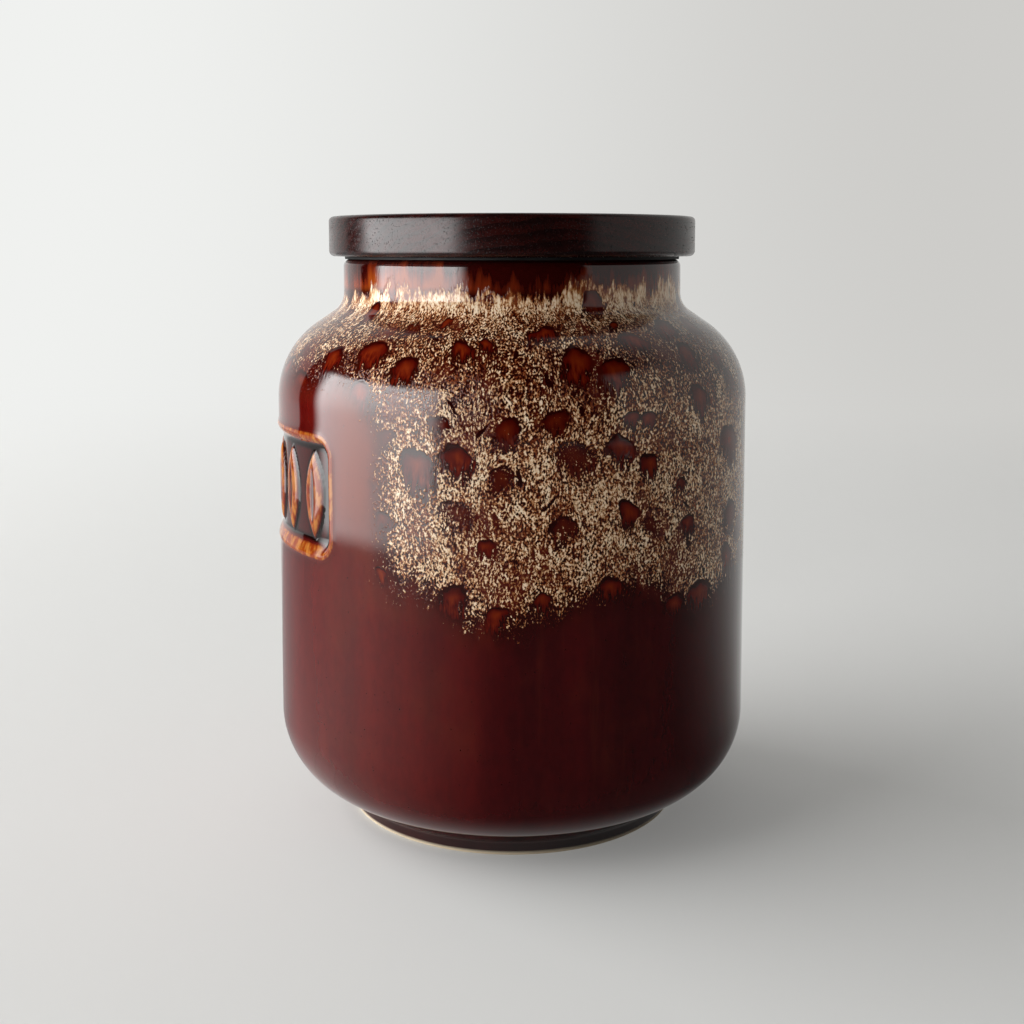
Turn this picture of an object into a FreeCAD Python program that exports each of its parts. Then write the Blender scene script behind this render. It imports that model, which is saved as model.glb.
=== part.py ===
import FreeCAD, Part
import math
import os

import Sketcher

# Glazed stoneware food canister with a turned wooden lid on a rubber seal.
# Millimetres, +Z up. The origin is the middle of the foot, on the table, and the cartouche faces -Y.

# Driving dimensions: alias, value, what it measures. Slopes are in degrees from level.
size_rows = (
    ("overall_height", 210.0, "table to the top of the lid"),
    ("body_radius", 83.4, "outside of the straight wall"),
    ("wall", 6.0, "thickness of the pot wall"),
    ("foot_inset", 25.0, "straight wall in to the outside of the foot ring"),
    ("foot_height", 4.5, "table to the start of the sloping base"),
    ("foot_ring_width", 6.0, "foot ring, outside to inside"),
    ("foot_recess", 3.5, "hollow inside the foot ring"),
    ("foot_cove", 2.0, "cove between the foot ring and the base"),
    ("foot_edge", 0.6, "rounded edges of the foot ring"),
    ("floor_thickness", 8.0, "pot floor above the foot hollow"),
    ("floor_curve", 24.0, "radius where the floor turns up into the wall, inside"),
    ("base_slope", 31.4, "slope of the underside between foot and curve"),
    ("base_curve", 28.0, "radius from the underside up to the wall"),
    ("shoulder_curve", 31.4, "radius from the wall over the shoulder"),
    ("shoulder_slope", 34.0, "slope of the shoulder below the neck"),
    ("neck_inset", 23.4, "straight wall in to the outside of the neck"),
    ("neck_curve", 7.6, "hollow radius where the shoulder meets the neck"),
    ("neck_height", 11.8, "straight part of the neck, up to the lip"),
    ("lip_round", 2.4, "rounded edges of the lip"),
    ("panel_width", 109.0, "cartouche, measured round the wall"),
    ("panel_height", 37.6, "cartouche, top to bottom"),
    ("panel_drop", 9.4, "top of the straight wall down to the cartouche"),
    ("panel_depth", 1.6, "depth of the cartouche in the wall"),
    ("panel_corner", 6.0, "corner radius of the cartouche"),
    ("grain_count", 6, "raised grains in the cartouche"),
    ("grain_width", 11.5, "one grain across"),
    ("grain_relief", 1.2, "height of a grain above the cartouche floor"),
    ("grain_root", 1.0, "depth of a grain's root in the wall"),
    ("grain_end_gap", 4.6, "end grain to the end of the cartouche"),
    ("grain_tip_gap", 4.6, "grain tips to the top and bottom of the cartouche"),
    ("crease_width", 1.8, "crease down each grain, across"),
    ("crease_depth", 0.6, "crease down each grain, depth"),
    ("crease_tip_gap", 2.5, "crease end to the grain's tip"),
    ("lid_thickness", 13.8, "wooden disc"),
    ("lid_overhang", 5.0, "edge of the disc beyond the neck"),
    ("lid_top_round", 1.5, "rounded top edge of the disc"),
    ("lid_bottom_round", 2.0, "rounded lower edge of the disc"),
    ("plug_depth", 13.0, "underside of the disc to the bottom of the plug"),
    ("plug_gap", 5.0, "waist of the plug to the mouth, all round"),
    ("plug_lip_height", 2.5, "lip that keeps the seal on the plug"),
    ("plug_lip_reach", 2.2, "lip beyond the waist"),
    ("plug_edge", 0.8, "rounded lower edge of the plug"),
    ("seal_flange", 1.0, "seal between the jar's lip and the disc"),
    ("seal_flange_inset", 0.5, "outside of the neck in to the flange edge"),
    ("seal_sleeve", 1.6, "thickness of the seal round the waist"),
    ("seal_fin_count", 3, "fins that grip the mouth"),
    ("seal_fin_root", 1.4, "fin thickness at the sleeve"),
    ("seal_fin_tip", 0.7, "fin thickness at its edge"),
    ("seal_clearance", 0.3, "fin edge to the mouth, all round"),
    ("seal_fit", 0.1, "seal to the plug, radially and endways"),
    ("cut_margin", 5.0, "how far a cut runs past the clay"),
)

doc = FreeCAD.newDocument("food_canister")
sizes = doc.addObject("Spreadsheet::Sheet", "sizes")
for row, (alias, value, meaning) in enumerate(size_rows, start=1):
    sizes.set(f"A{row}", meaning)
    sizes.set(f"B{row}", str(value))
    sizes.setAlias(f"B{row}", alias)
doc.recompute()

# The same numbers, for drawing each sketch close to where its constraints settle it.
size = {alias: value for alias, value, meaning in size_rows}

# Formulas that several pieces share, written for the sheet.
rim_formula = "(sizes.overall_height - sizes.lid_thickness - sizes.seal_flange)"
neck_formula = "(sizes.body_radius - sizes.neck_inset)"
mouth_formula = "(sizes.body_radius - sizes.neck_inset - sizes.wall)"
waist_formula = "(sizes.body_radius - sizes.neck_inset - sizes.wall - sizes.plug_gap)"
panel_floor_formula = "(sizes.body_radius - sizes.panel_depth)"
lid_seat_formula = "(sizes.overall_height - sizes.lid_thickness)"

# The same places as numbers.
rim_height = size["overall_height"] - size["lid_thickness"] - size["seal_flange"]
neck_radius = size["body_radius"] - size["neck_inset"]
mouth_radius = neck_radius - size["wall"]
waist_radius = mouth_radius - size["plug_gap"]
foot_radius = size["body_radius"] - size["foot_inset"]
floor_height = size["foot_recess"] + size["floor_thickness"]
panel_floor_radius = size["body_radius"] - size["panel_depth"]


def new_body(label):
    """A body named for the piece it makes."""
    body = doc.addObject("PartDesign::Body", label)
    body.Label = label
    return body


def origin_part(body, role):
    """One of the body's own origin planes or axes."""
    for feature in body.Origin.OriginFeatures:
        if feature.Role == role:
            return feature
    raise ValueError(f"{body.Label} has no {role}")


def new_sketch(body, name, role):
    """An empty sketch on one of the body's origin planes."""
    sketch = body.newObject("Sketcher::SketchObject", name)
    sketch.AttachmentSupport = (origin_part(body, role), [""])
    sketch.MapMode = "FlatFace"
    return sketch


def line(start, end):
    """A straight step of an outline, from (across, up) to (across, up)."""
    geometry = Part.LineSegment(FreeCAD.Vector(*start, 0), FreeCAD.Vector(*end, 0))
    return geometry, 1, 2


def arc(middle, radius, from_degrees, to_degrees):
    """A round step of an outline, drawn from one angle to the other."""
    circle = Part.Circle(FreeCAD.Vector(*middle, 0), FreeCAD.Vector(0, 0, 1), radius)
    low = math.radians(min(from_degrees, to_degrees))
    high = math.radians(max(from_degrees, to_degrees))
    geometry = Part.ArcOfCircle(circle, low, high)
    if to_degrees > from_degrees:
        return geometry, 1, 2
    return geometry, 2, 1


def draw_outline(sketch, steps):
    """Draw the steps end to end as a closed outline; arcs run smoothly into their neighbours."""
    placed = []
    for geometry, first, last in steps:
        placed.append((sketch.addGeometry(geometry, False), first, last))
    for index, (shape_id, first, last) in enumerate(placed):
        next_id, next_first, next_last = placed[(index + 1) % len(placed)]
        round_join = isinstance(steps[index][0], Part.ArcOfCircle)
        round_join = round_join or isinstance(steps[(index + 1) % len(steps)][0], Part.ArcOfCircle)
        kind = "Tangent" if round_join else "Coincident"
        sketch.addConstraint(Sketcher.Constraint(kind, shape_id, last, next_id, next_first))
    return placed


def hold(sketch, kind, *shape_ids):
    """Keep lines level or upright."""
    for shape_id in shape_ids:
        sketch.addConstraint(Sketcher.Constraint(kind, shape_id))


def on_axis(sketch, *points):
    """Keep points on the turning axis."""
    upright_axis = -2
    for shape_id, point in points:
        sketch.addConstraint(Sketcher.Constraint("PointOnObject", shape_id, point, upright_axis))


def bind(sketch, name, constraint, formula):
    """Add a named size to the sketch and bind it to the sheet."""
    index = sketch.addConstraint(constraint)
    sketch.renameConstraint(index, name)
    sketch.setExpression(f"Constraints.{name}", formula)


def bind_across(sketch, name, shape_id, point, formula):
    """Distance of a point from the turning axis."""
    across = sketch.getPoint(shape_id, point).x
    bind(sketch, name, Sketcher.Constraint("DistanceX", -1, 1, shape_id, point, across), formula)


def bind_up(sketch, name, shape_id, point, formula):
    """Height of a point above the sketch's origin."""
    height = sketch.getPoint(shape_id, point).y
    bind(sketch, name, Sketcher.Constraint("DistanceY", -1, 1, shape_id, point, height), formula)


def bind_down(sketch, name, shape_id, point, formula):
    """Depth of a point below the sketch's origin."""
    depth = -sketch.getPoint(shape_id, point).y
    bind(sketch, name, Sketcher.Constraint("DistanceY", shape_id, point, -1, 1, depth), formula)


def bind_radius(sketch, name, shape_id, formula):
    """Radius of an arc."""
    radius = sketch.Geometry[shape_id].Radius
    bind(sketch, name, Sketcher.Constraint("Radius", shape_id, radius), formula)


def bind_slope(sketch, name, shape_id, degrees, formula):
    """Direction of a line, in degrees from level."""
    bind(sketch, name, Sketcher.Constraint("Angle", shape_id, math.radians(degrees)), formula)


def turn(body, kind, name, sketch):
    """Turn a sketch all the way round the upright axis, adding or cutting."""
    feature = body.newObject(f"PartDesign::{kind}", name)
    feature.Profile = sketch
    feature.ReferenceAxis = (sketch, ["V_Axis"])
    feature.Angle = 360
    doc.recompute()
    return feature


def edges_where(feature, test):
    """Names of a feature's edges that pass a test."""
    return [f"Edge{index}" for index, edge in enumerate(feature.Shape.Edges, start=1) if test(edge)]


def ring_at(edge, radius, height):
    """True for a level circular edge of that radius at that height."""
    if not isinstance(edge.Curve, Part.Circle):
        return False
    box = edge.BoundBox
    level = max(abs(box.ZMin - height), abs(box.ZMax - height)) < 0.01
    return level and abs(edge.Curve.Radius - radius) < 0.01


def soften(body, name, base, edge_names, formula):
    """Round the named edges of a feature."""
    if not edge_names:
        raise ValueError(f"{name} found no edges")
    feature = body.newObject("PartDesign::Fillet", name)
    feature.Base = (base, edge_names)
    feature.setExpression("Radius", formula)
    doc.recompute()
    return feature


def check_change(before, after, adds):
    """Stop if a feature added or cut nothing."""
    grown = after.Shape.Volume - before.Shape.Volume
    if (grown > 0) != adds or abs(grown) < 1.0:
        raise ValueError(f"{after.Name} changed the volume by {grown:.2f}")


# Jar body

def jar_outline(body):
    """Half section of the solid pot: foot, base, wall, shoulder and neck."""
    sketch = new_sketch(body, "jar_outline", "XZ_Plane")
    lean = math.radians(size["base_slope"])
    fall = math.radians(size["shoulder_slope"])
    base_end = size["body_radius"] - size["base_curve"] * (1 - math.sin(lean))
    base_rise = size["foot_height"] + (base_end - foot_radius) * math.tan(lean)
    wall_start = base_rise + size["base_curve"] * math.cos(lean)
    neck_start = rim_height - size["neck_height"]
    hollow_end = neck_radius + size["neck_curve"] * (1 - math.sin(fall))
    hollow_height = neck_start - size["neck_curve"] * math.cos(fall)
    shoulder_end = size["body_radius"] - size["shoulder_curve"] * (1 - math.sin(fall))
    shoulder_height = hollow_height - (shoulder_end - hollow_end) * math.tan(fall)
    wall_end = shoulder_height - size["shoulder_curve"] * math.cos(fall)
    base_middle = (size["body_radius"] - size["base_curve"], wall_start)
    shoulder_middle = (size["body_radius"] - size["shoulder_curve"], wall_end)
    neck_middle = (neck_radius + size["neck_curve"], neck_start)
    shoulder_turn = 90 - size["shoulder_slope"]
    placed = draw_outline(sketch, [
        line((0, 0), (foot_radius, 0)),
        line((foot_radius, 0), (foot_radius, size["foot_height"])),
        line((foot_radius, size["foot_height"]), (base_end, base_rise)),
        arc(base_middle, size["base_curve"], size["base_slope"] - 90, 0),
        line((size["body_radius"], wall_start), (size["body_radius"], wall_end)),
        arc(shoulder_middle, size["shoulder_curve"], 0, shoulder_turn),
        line((shoulder_end, shoulder_height), (hollow_end, hollow_height)),
        arc(neck_middle, size["neck_curve"], 180 + shoulder_turn, 180),
        line((neck_radius, neck_start), (neck_radius, rim_height)),
        line((neck_radius, rim_height), (0, rim_height)),
        line((0, rim_height), (0, 0)),
    ])
    foot, foot_side, slope, base, side, shoulder = [step[0] for step in placed[:6]]
    fall_line, hollow, neck, rim, middle = [step[0] for step in placed[6:]]
    hold(sketch, "Horizontal", foot, rim)
    hold(sketch, "Vertical", foot_side, side, neck)
    on_axis(sketch, (middle, 1))
    sketch.addConstraint(Sketcher.Constraint("Coincident", foot, 1, -1, 1))
    bind_across(sketch, "foot_radius", foot, 2, "sizes.body_radius - sizes.foot_inset")
    bind_up(sketch, "foot_height", foot_side, 2, "sizes.foot_height")
    bind_slope(sketch, "base_slope", slope, size["base_slope"], "sizes.base_slope * 1 deg")
    bind_radius(sketch, "base_curve", base, "sizes.base_curve")
    bind_across(sketch, "body_radius", side, 1, "sizes.body_radius")
    bind_radius(sketch, "shoulder_curve", shoulder, "sizes.shoulder_curve")
    slope_formula = "(180 - sizes.shoulder_slope) * 1 deg"
    bind_slope(sketch, "shoulder_slope", fall_line, 180 - size["shoulder_slope"], slope_formula)
    bind_radius(sketch, "neck_curve", hollow, "sizes.neck_curve")
    bind_across(sketch, "neck_radius", neck, 1, neck_formula)
    bind_up(sketch, "neck_start", neck, 1, f"{rim_formula} - sizes.neck_height")
    bind_up(sketch, "rim_height", neck, 2, rim_formula)
    # The top of the straight wall follows from the rest; the cartouche hangs from it.
    measured = sketch.addConstraint(Sketcher.Constraint("DistanceY", -1, 1, side, 2, wall_end))
    sketch.renameConstraint(measured, "wall_end")
    sketch.setDriving(measured, False)
    return sketch, wall_end


def jar_hollow(body, wall_end):
    """Half section of the inside, one wall thickness in from the outside."""
    sketch = new_sketch(body, "jar_hollow", "XZ_Plane")
    fall = math.radians(size["shoulder_slope"])
    inside = size["body_radius"] - size["wall"]
    floor_curve = size["floor_curve"]
    shoulder_curve = size["shoulder_curve"] - size["wall"]
    neck_curve = size["neck_curve"] + size["wall"]
    neck_start = rim_height - size["neck_height"]
    hollow_end = mouth_radius + neck_curve * (1 - math.sin(fall))
    hollow_height = neck_start - neck_curve * math.cos(fall)
    shoulder_end = inside - shoulder_curve * (1 - math.sin(fall))
    shoulder_height = wall_end + shoulder_curve * math.cos(fall)
    top = rim_height + size["cut_margin"]
    shoulder_turn = 90 - size["shoulder_slope"]
    placed = draw_outline(sketch, [
        line((0, floor_height), (inside - floor_curve, floor_height)),
        arc((inside - floor_curve, floor_height + floor_curve), floor_curve, -90, 0),
        line((inside, floor_height + floor_curve), (inside, wall_end)),
        arc((inside - shoulder_curve, wall_end), shoulder_curve, 0, shoulder_turn),
        line((shoulder_end, shoulder_height), (hollow_end, hollow_height)),
        arc((mouth_radius + neck_curve, neck_start), neck_curve, 180 + shoulder_turn, 180),
        line((mouth_radius, neck_start), (mouth_radius, top)),
        line((mouth_radius, top), (0, top)),
        line((0, top), (0, floor_height)),
    ])
    floor, corner, side, shoulder, fall_line = [step[0] for step in placed[:5]]
    hollow, mouth, cover, middle = [step[0] for step in placed[5:]]
    hold(sketch, "Horizontal", floor, cover)
    hold(sketch, "Vertical", side, mouth)
    on_axis(sketch, (middle, 1), (middle, 2))
    bind_up(sketch, "floor_height", floor, 1, "sizes.foot_recess + sizes.floor_thickness")
    bind_radius(sketch, "floor_curve", corner, "sizes.floor_curve")
    bind_across(sketch, "inside_radius", side, 1, "sizes.body_radius - sizes.wall")
    bind_radius(sketch, "shoulder_curve", shoulder, "sizes.shoulder_curve - sizes.wall")
    slope_formula = "(180 - sizes.shoulder_slope) * 1 deg"
    bind_slope(sketch, "shoulder_slope", fall_line, 180 - size["shoulder_slope"], slope_formula)
    bind_radius(sketch, "neck_curve", hollow, "sizes.neck_curve + sizes.wall")
    bind_across(sketch, "mouth_radius", mouth, 1, mouth_formula)
    bind_up(sketch, "neck_start", mouth, 1, f"{rim_formula} - sizes.neck_height")
    bind_up(sketch, "cut_top", mouth, 2, f"{rim_formula} + sizes.cut_margin")
    return sketch


def foot_hollow(body):
    """Section of the shallow hollow inside the foot ring."""
    sketch = new_sketch(body, "foot_hollow", "XZ_Plane")
    inside = foot_radius - size["foot_ring_width"]
    low = -size["cut_margin"]
    placed = draw_outline(sketch, [
        line((0, low), (inside, low)),
        line((inside, low), (inside, size["foot_recess"])),
        line((inside, size["foot_recess"]), (0, size["foot_recess"])),
        line((0, size["foot_recess"]), (0, low)),
    ])
    cover, side, ceiling, middle = [step[0] for step in placed]
    hold(sketch, "Horizontal", cover, ceiling)
    hold(sketch, "Vertical", side)
    on_axis(sketch, (middle, 1), (middle, 2))
    ring_formula = "sizes.body_radius - sizes.foot_inset - sizes.foot_ring_width"
    bind_across(sketch, "ring_inside", side, 2, ring_formula)
    bind_up(sketch, "foot_recess", ceiling, 1, "sizes.foot_recess")
    bind_down(sketch, "cut_bottom", cover, 1, "sizes.cut_margin")
    return sketch


def panel_outline(body, wall_end):
    """Section of the cartouche on the front wall, drawn on the -Y side."""
    sketch = new_sketch(body, "panel_outline", "YZ_Plane")
    floor = -panel_floor_radius
    outside = -(size["body_radius"] + size["cut_margin"])
    top = wall_end - size["panel_drop"]
    bottom = top - size["panel_height"]
    placed = draw_outline(sketch, [
        line((outside, bottom), (floor, bottom)),
        line((floor, bottom), (floor, top)),
        line((floor, top), (outside, top)),
        line((outside, top), (outside, bottom)),
    ])
    sill, back, head, front = [step[0] for step in placed]
    hold(sketch, "Horizontal", sill, head)
    hold(sketch, "Vertical", back, front)
    floor_size = Sketcher.Constraint("DistanceX", back, 1, -1, 1, -floor)
    bind(sketch, "floor_radius", floor_size, panel_floor_formula)
    outside_size = Sketcher.Constraint("DistanceX", front, 1, -1, 1, -outside)
    bind(sketch, "cut_outside", outside_size, "sizes.body_radius + sizes.cut_margin")
    top_formula = "jar_outline.Constraints.wall_end - sizes.panel_drop * 1 mm"
    bind_up(sketch, "panel_top", head, 1, top_formula)
    height_size = Sketcher.Constraint("DistanceY", back, 1, back, 2, size["panel_height"])
    bind(sketch, "panel_height", height_size, "sizes.panel_height")
    return sketch


def panel_corner_edge(edge):
    """True for a short edge that runs straight into the wall at a cartouche corner."""
    if not isinstance(edge.Curve, Part.Line):
        return False
    middle = edge.CenterOfMass
    radius = math.hypot(middle.x, middle.y)
    inside_panel = panel_floor_radius < radius < size["body_radius"]
    return inside_panel and abs(edge.Length - size["panel_depth"]) < 0.01


def grain_outline(body, name, radius_formula, half_length, length_formula, width_alias):
    """A pointed oval from two arcs, facing outwards at the left end of the row of grains."""
    width = size[width_alias]
    width_formula = f"sizes.{width_alias}"
    sketch = new_sketch(body, name, "XZ_Plane")
    half_row = "((sizes.panel_width - sizes.grain_width) / 2 - sizes.grain_end_gap)"
    angle = f"({half_row} / sizes.body_radius * 180 / pi)"
    middle = "jar_outline.Constraints.wall_end - (sizes.panel_drop + sizes.panel_height / 2) * 1 mm"
    upright = FreeCAD.Rotation(FreeCAD.Vector(0, 1, 0), -1)
    sketch.AttachmentOffset = FreeCAD.Placement(FreeCAD.Vector(0, 0, 0), upright)
    sketch.setExpression("AttachmentOffset.Base.x", f"-{radius_formula} * sin({angle} * 1 deg)")
    sketch.setExpression("AttachmentOffset.Base.y", middle)
    sketch.setExpression("AttachmentOffset.Base.z", f"{radius_formula} * cos({angle} * 1 deg)")
    sketch.setExpression("AttachmentOffset.Rotation.Angle", f"-{angle}")
    side_radius = (half_length ** 2 + (width / 2) ** 2) / width
    side_middle = side_radius - width / 2
    half_turn = math.degrees(math.asin(half_length / side_radius))
    right_side = arc((-side_middle, 0), side_radius, -half_turn, half_turn)
    left_side = arc((side_middle, 0), side_radius, 180 - half_turn, 180 + half_turn)
    right = sketch.addGeometry(right_side[0], False)
    left = sketch.addGeometry(left_side[0], False)
    sketch.addConstraint(Sketcher.Constraint("Coincident", right, 2, left, 1))
    sketch.addConstraint(Sketcher.Constraint("Coincident", left, 2, right, 1))
    on_axis(sketch, (right, 1), (right, 2))
    sketch.addConstraint(Sketcher.Constraint("PointOnObject", right, 3, -1))
    sketch.addConstraint(Sketcher.Constraint("Equal", right, left))
    bind_up(sketch, "half_length", right, 2, length_formula)
    side_formula = f"({length_formula}^2 + ({width_formula} / 2)^2) / {width_formula}"
    bind_radius(sketch, "side_radius", right, side_formula)
    return sketch


def make_jar_body():
    """The pot: turned solid, hollowed, with its foot ring and the cartouche of grains."""
    body = new_body("jar_body")
    outline, wall_end = jar_outline(body)
    solid = turn(body, "Revolution", "jar_solid", outline)
    hollow = turn(body, "Groove", "jar_inside", jar_hollow(body, wall_end))
    check_change(solid, hollow, adds=False)
    foot = turn(body, "Groove", "jar_foot", foot_hollow(body))
    check_change(hollow, foot, adds=False)

    panel = body.newObject("PartDesign::Groove", "jar_panel")
    panel.Profile = panel_outline(body, wall_end)
    panel.ReferenceAxis = (panel.Profile[0], ["V_Axis"])
    panel.Midplane = True
    panel.setExpression("Angle", "sizes.panel_width / sizes.body_radius * 180 / pi")
    doc.recompute()
    check_change(foot, panel, adds=False)
    corner_edges = edges_where(panel, panel_corner_edge)
    corners = soften(body, "panel_corners", panel, corner_edges, "sizes.panel_corner")

    half_length = size["panel_height"] / 2 - size["grain_tip_gap"]
    half_formula = "(sizes.panel_height / 2 - sizes.grain_tip_gap)"
    root_formula = "(sizes.body_radius - sizes.panel_depth - sizes.grain_root)"
    grain = body.newObject("PartDesign::Pad", "grain")
    grain.Profile = grain_outline(
        body, "grain_outline", root_formula, half_length, half_formula, "grain_width"
    )
    grain.setExpression("Length", "sizes.grain_root + sizes.grain_relief")
    doc.recompute()
    check_change(corners, grain, adds=True)
    crease_length = half_length - size["crease_tip_gap"]
    crease_formula = "(sizes.panel_height / 2 - sizes.grain_tip_gap - sizes.crease_tip_gap)"
    top_formula = "(sizes.body_radius - sizes.panel_depth + sizes.grain_relief)"
    crease = body.newObject("PartDesign::Pocket", "grain_crease")
    crease.Profile = grain_outline(
        body, "crease_outline", top_formula, crease_length, crease_formula, "crease_width"
    )
    crease.setExpression("Length", "sizes.crease_depth")
    doc.recompute()
    check_change(grain, crease, adds=False)
    row = body.newObject("PartDesign::PolarPattern", "grain_row")
    row.Originals = [grain, crease]
    row.Axis = (origin_part(body, "Z_Axis"), [""])
    row_formula = "(sizes.panel_width - sizes.grain_width - 2 * sizes.grain_end_gap)"
    row.setExpression("Angle", f"{row_formula} / sizes.body_radius * 180 / pi")
    row.setExpression("Occurrences", "sizes.grain_count")
    body.Tip = row
    doc.recompute()
    check_change(crease, row, adds=True)

    def lip_edge(edge):
        return ring_at(edge, neck_radius, rim_height) or ring_at(edge, mouth_radius, rim_height)

    def cove_edge(edge):
        return ring_at(edge, foot_radius, size["foot_height"])

    def foot_edge(edge):
        return ring_at(edge, foot_radius, 0) or ring_at(edge, foot_radius - size["foot_ring_width"], 0)

    lip = soften(body, "lip_edges", row, edges_where(row, lip_edge), "sizes.lip_round")
    cove = soften(body, "foot_cove", lip, edges_where(lip, cove_edge), "sizes.foot_cove")
    soften(body, "foot_edges", cove, edges_where(cove, foot_edge), "sizes.foot_edge")
    return body


# Lid disc

def make_lid_disc():
    """The wooden disc: a round board with softened edges, its underside at the body's origin."""
    body = new_body("lid_disc")
    sketch = new_sketch(body, "disc_outline", "XY_Plane")
    disc_radius = neck_radius + size["lid_overhang"]
    circle = Part.Circle(FreeCAD.Vector(0, 0, 0), FreeCAD.Vector(0, 0, 1), disc_radius)
    disc = sketch.addGeometry(circle, False)
    sketch.addConstraint(Sketcher.Constraint("Coincident", disc, 3, -1, 1))
    bind_radius(sketch, "disc_radius", disc, f"{neck_formula} + sizes.lid_overhang")
    board = body.newObject("PartDesign::Pad", "disc_board")
    board.Profile = sketch
    board.setExpression("Length", "sizes.lid_thickness")
    doc.recompute()

    def top_edge(edge):
        return ring_at(edge, disc_radius, size["lid_thickness"])

    def lower_edge(edge):
        return ring_at(edge, disc_radius, 0)

    top = soften(body, "disc_top_edge", board, edges_where(board, top_edge), "sizes.lid_top_round")
    soften(body, "disc_lower_edge", top, edges_where(top, lower_edge), "sizes.lid_bottom_round")
    body.setExpression("Placement.Base.z", lid_seat_formula)
    return body


# Lid plug

def make_lid_plug():
    """The wooden plug under the disc: a waist for the seal and a lip that keeps it on."""
    body = new_body("lid_plug")
    sketch = new_sketch(body, "plug_outline", "XZ_Plane")
    lip_radius = waist_radius + size["plug_lip_reach"]
    lip_top = size["plug_lip_height"] - size["plug_depth"]
    placed = draw_outline(sketch, [
        line((0, -size["plug_depth"]), (lip_radius, -size["plug_depth"])),
        line((lip_radius, -size["plug_depth"]), (lip_radius, lip_top)),
        line((lip_radius, lip_top), (waist_radius, lip_top)),
        line((waist_radius, lip_top), (waist_radius, 0)),
        line((waist_radius, 0), (0, 0)),
        line((0, 0), (0, -size["plug_depth"])),
    ])
    bottom, lip_side, lip, waist, top, middle = [step[0] for step in placed]
    hold(sketch, "Horizontal", bottom, lip, top)
    hold(sketch, "Vertical", lip_side, waist)
    on_axis(sketch, (middle, 2))
    sketch.addConstraint(Sketcher.Constraint("Coincident", middle, 1, -1, 1))
    bind_across(sketch, "waist_radius", waist, 2, waist_formula)
    bind_across(sketch, "lip_radius", lip_side, 1, f"{waist_formula} + sizes.plug_lip_reach")
    bind_down(sketch, "plug_depth", bottom, 1, "sizes.plug_depth")
    bind_down(sketch, "lip_top", lip, 1, "sizes.plug_depth - sizes.plug_lip_height")
    solid = turn(body, "Revolution", "plug_solid", sketch)

    def lower_edge(edge):
        return ring_at(edge, lip_radius, -size["plug_depth"])

    soften(body, "plug_lower_edge", solid, edges_where(solid, lower_edge), "sizes.plug_edge")
    body.setExpression("Placement.Base.z", lid_seat_formula)
    return body


# Seal ring

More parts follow.
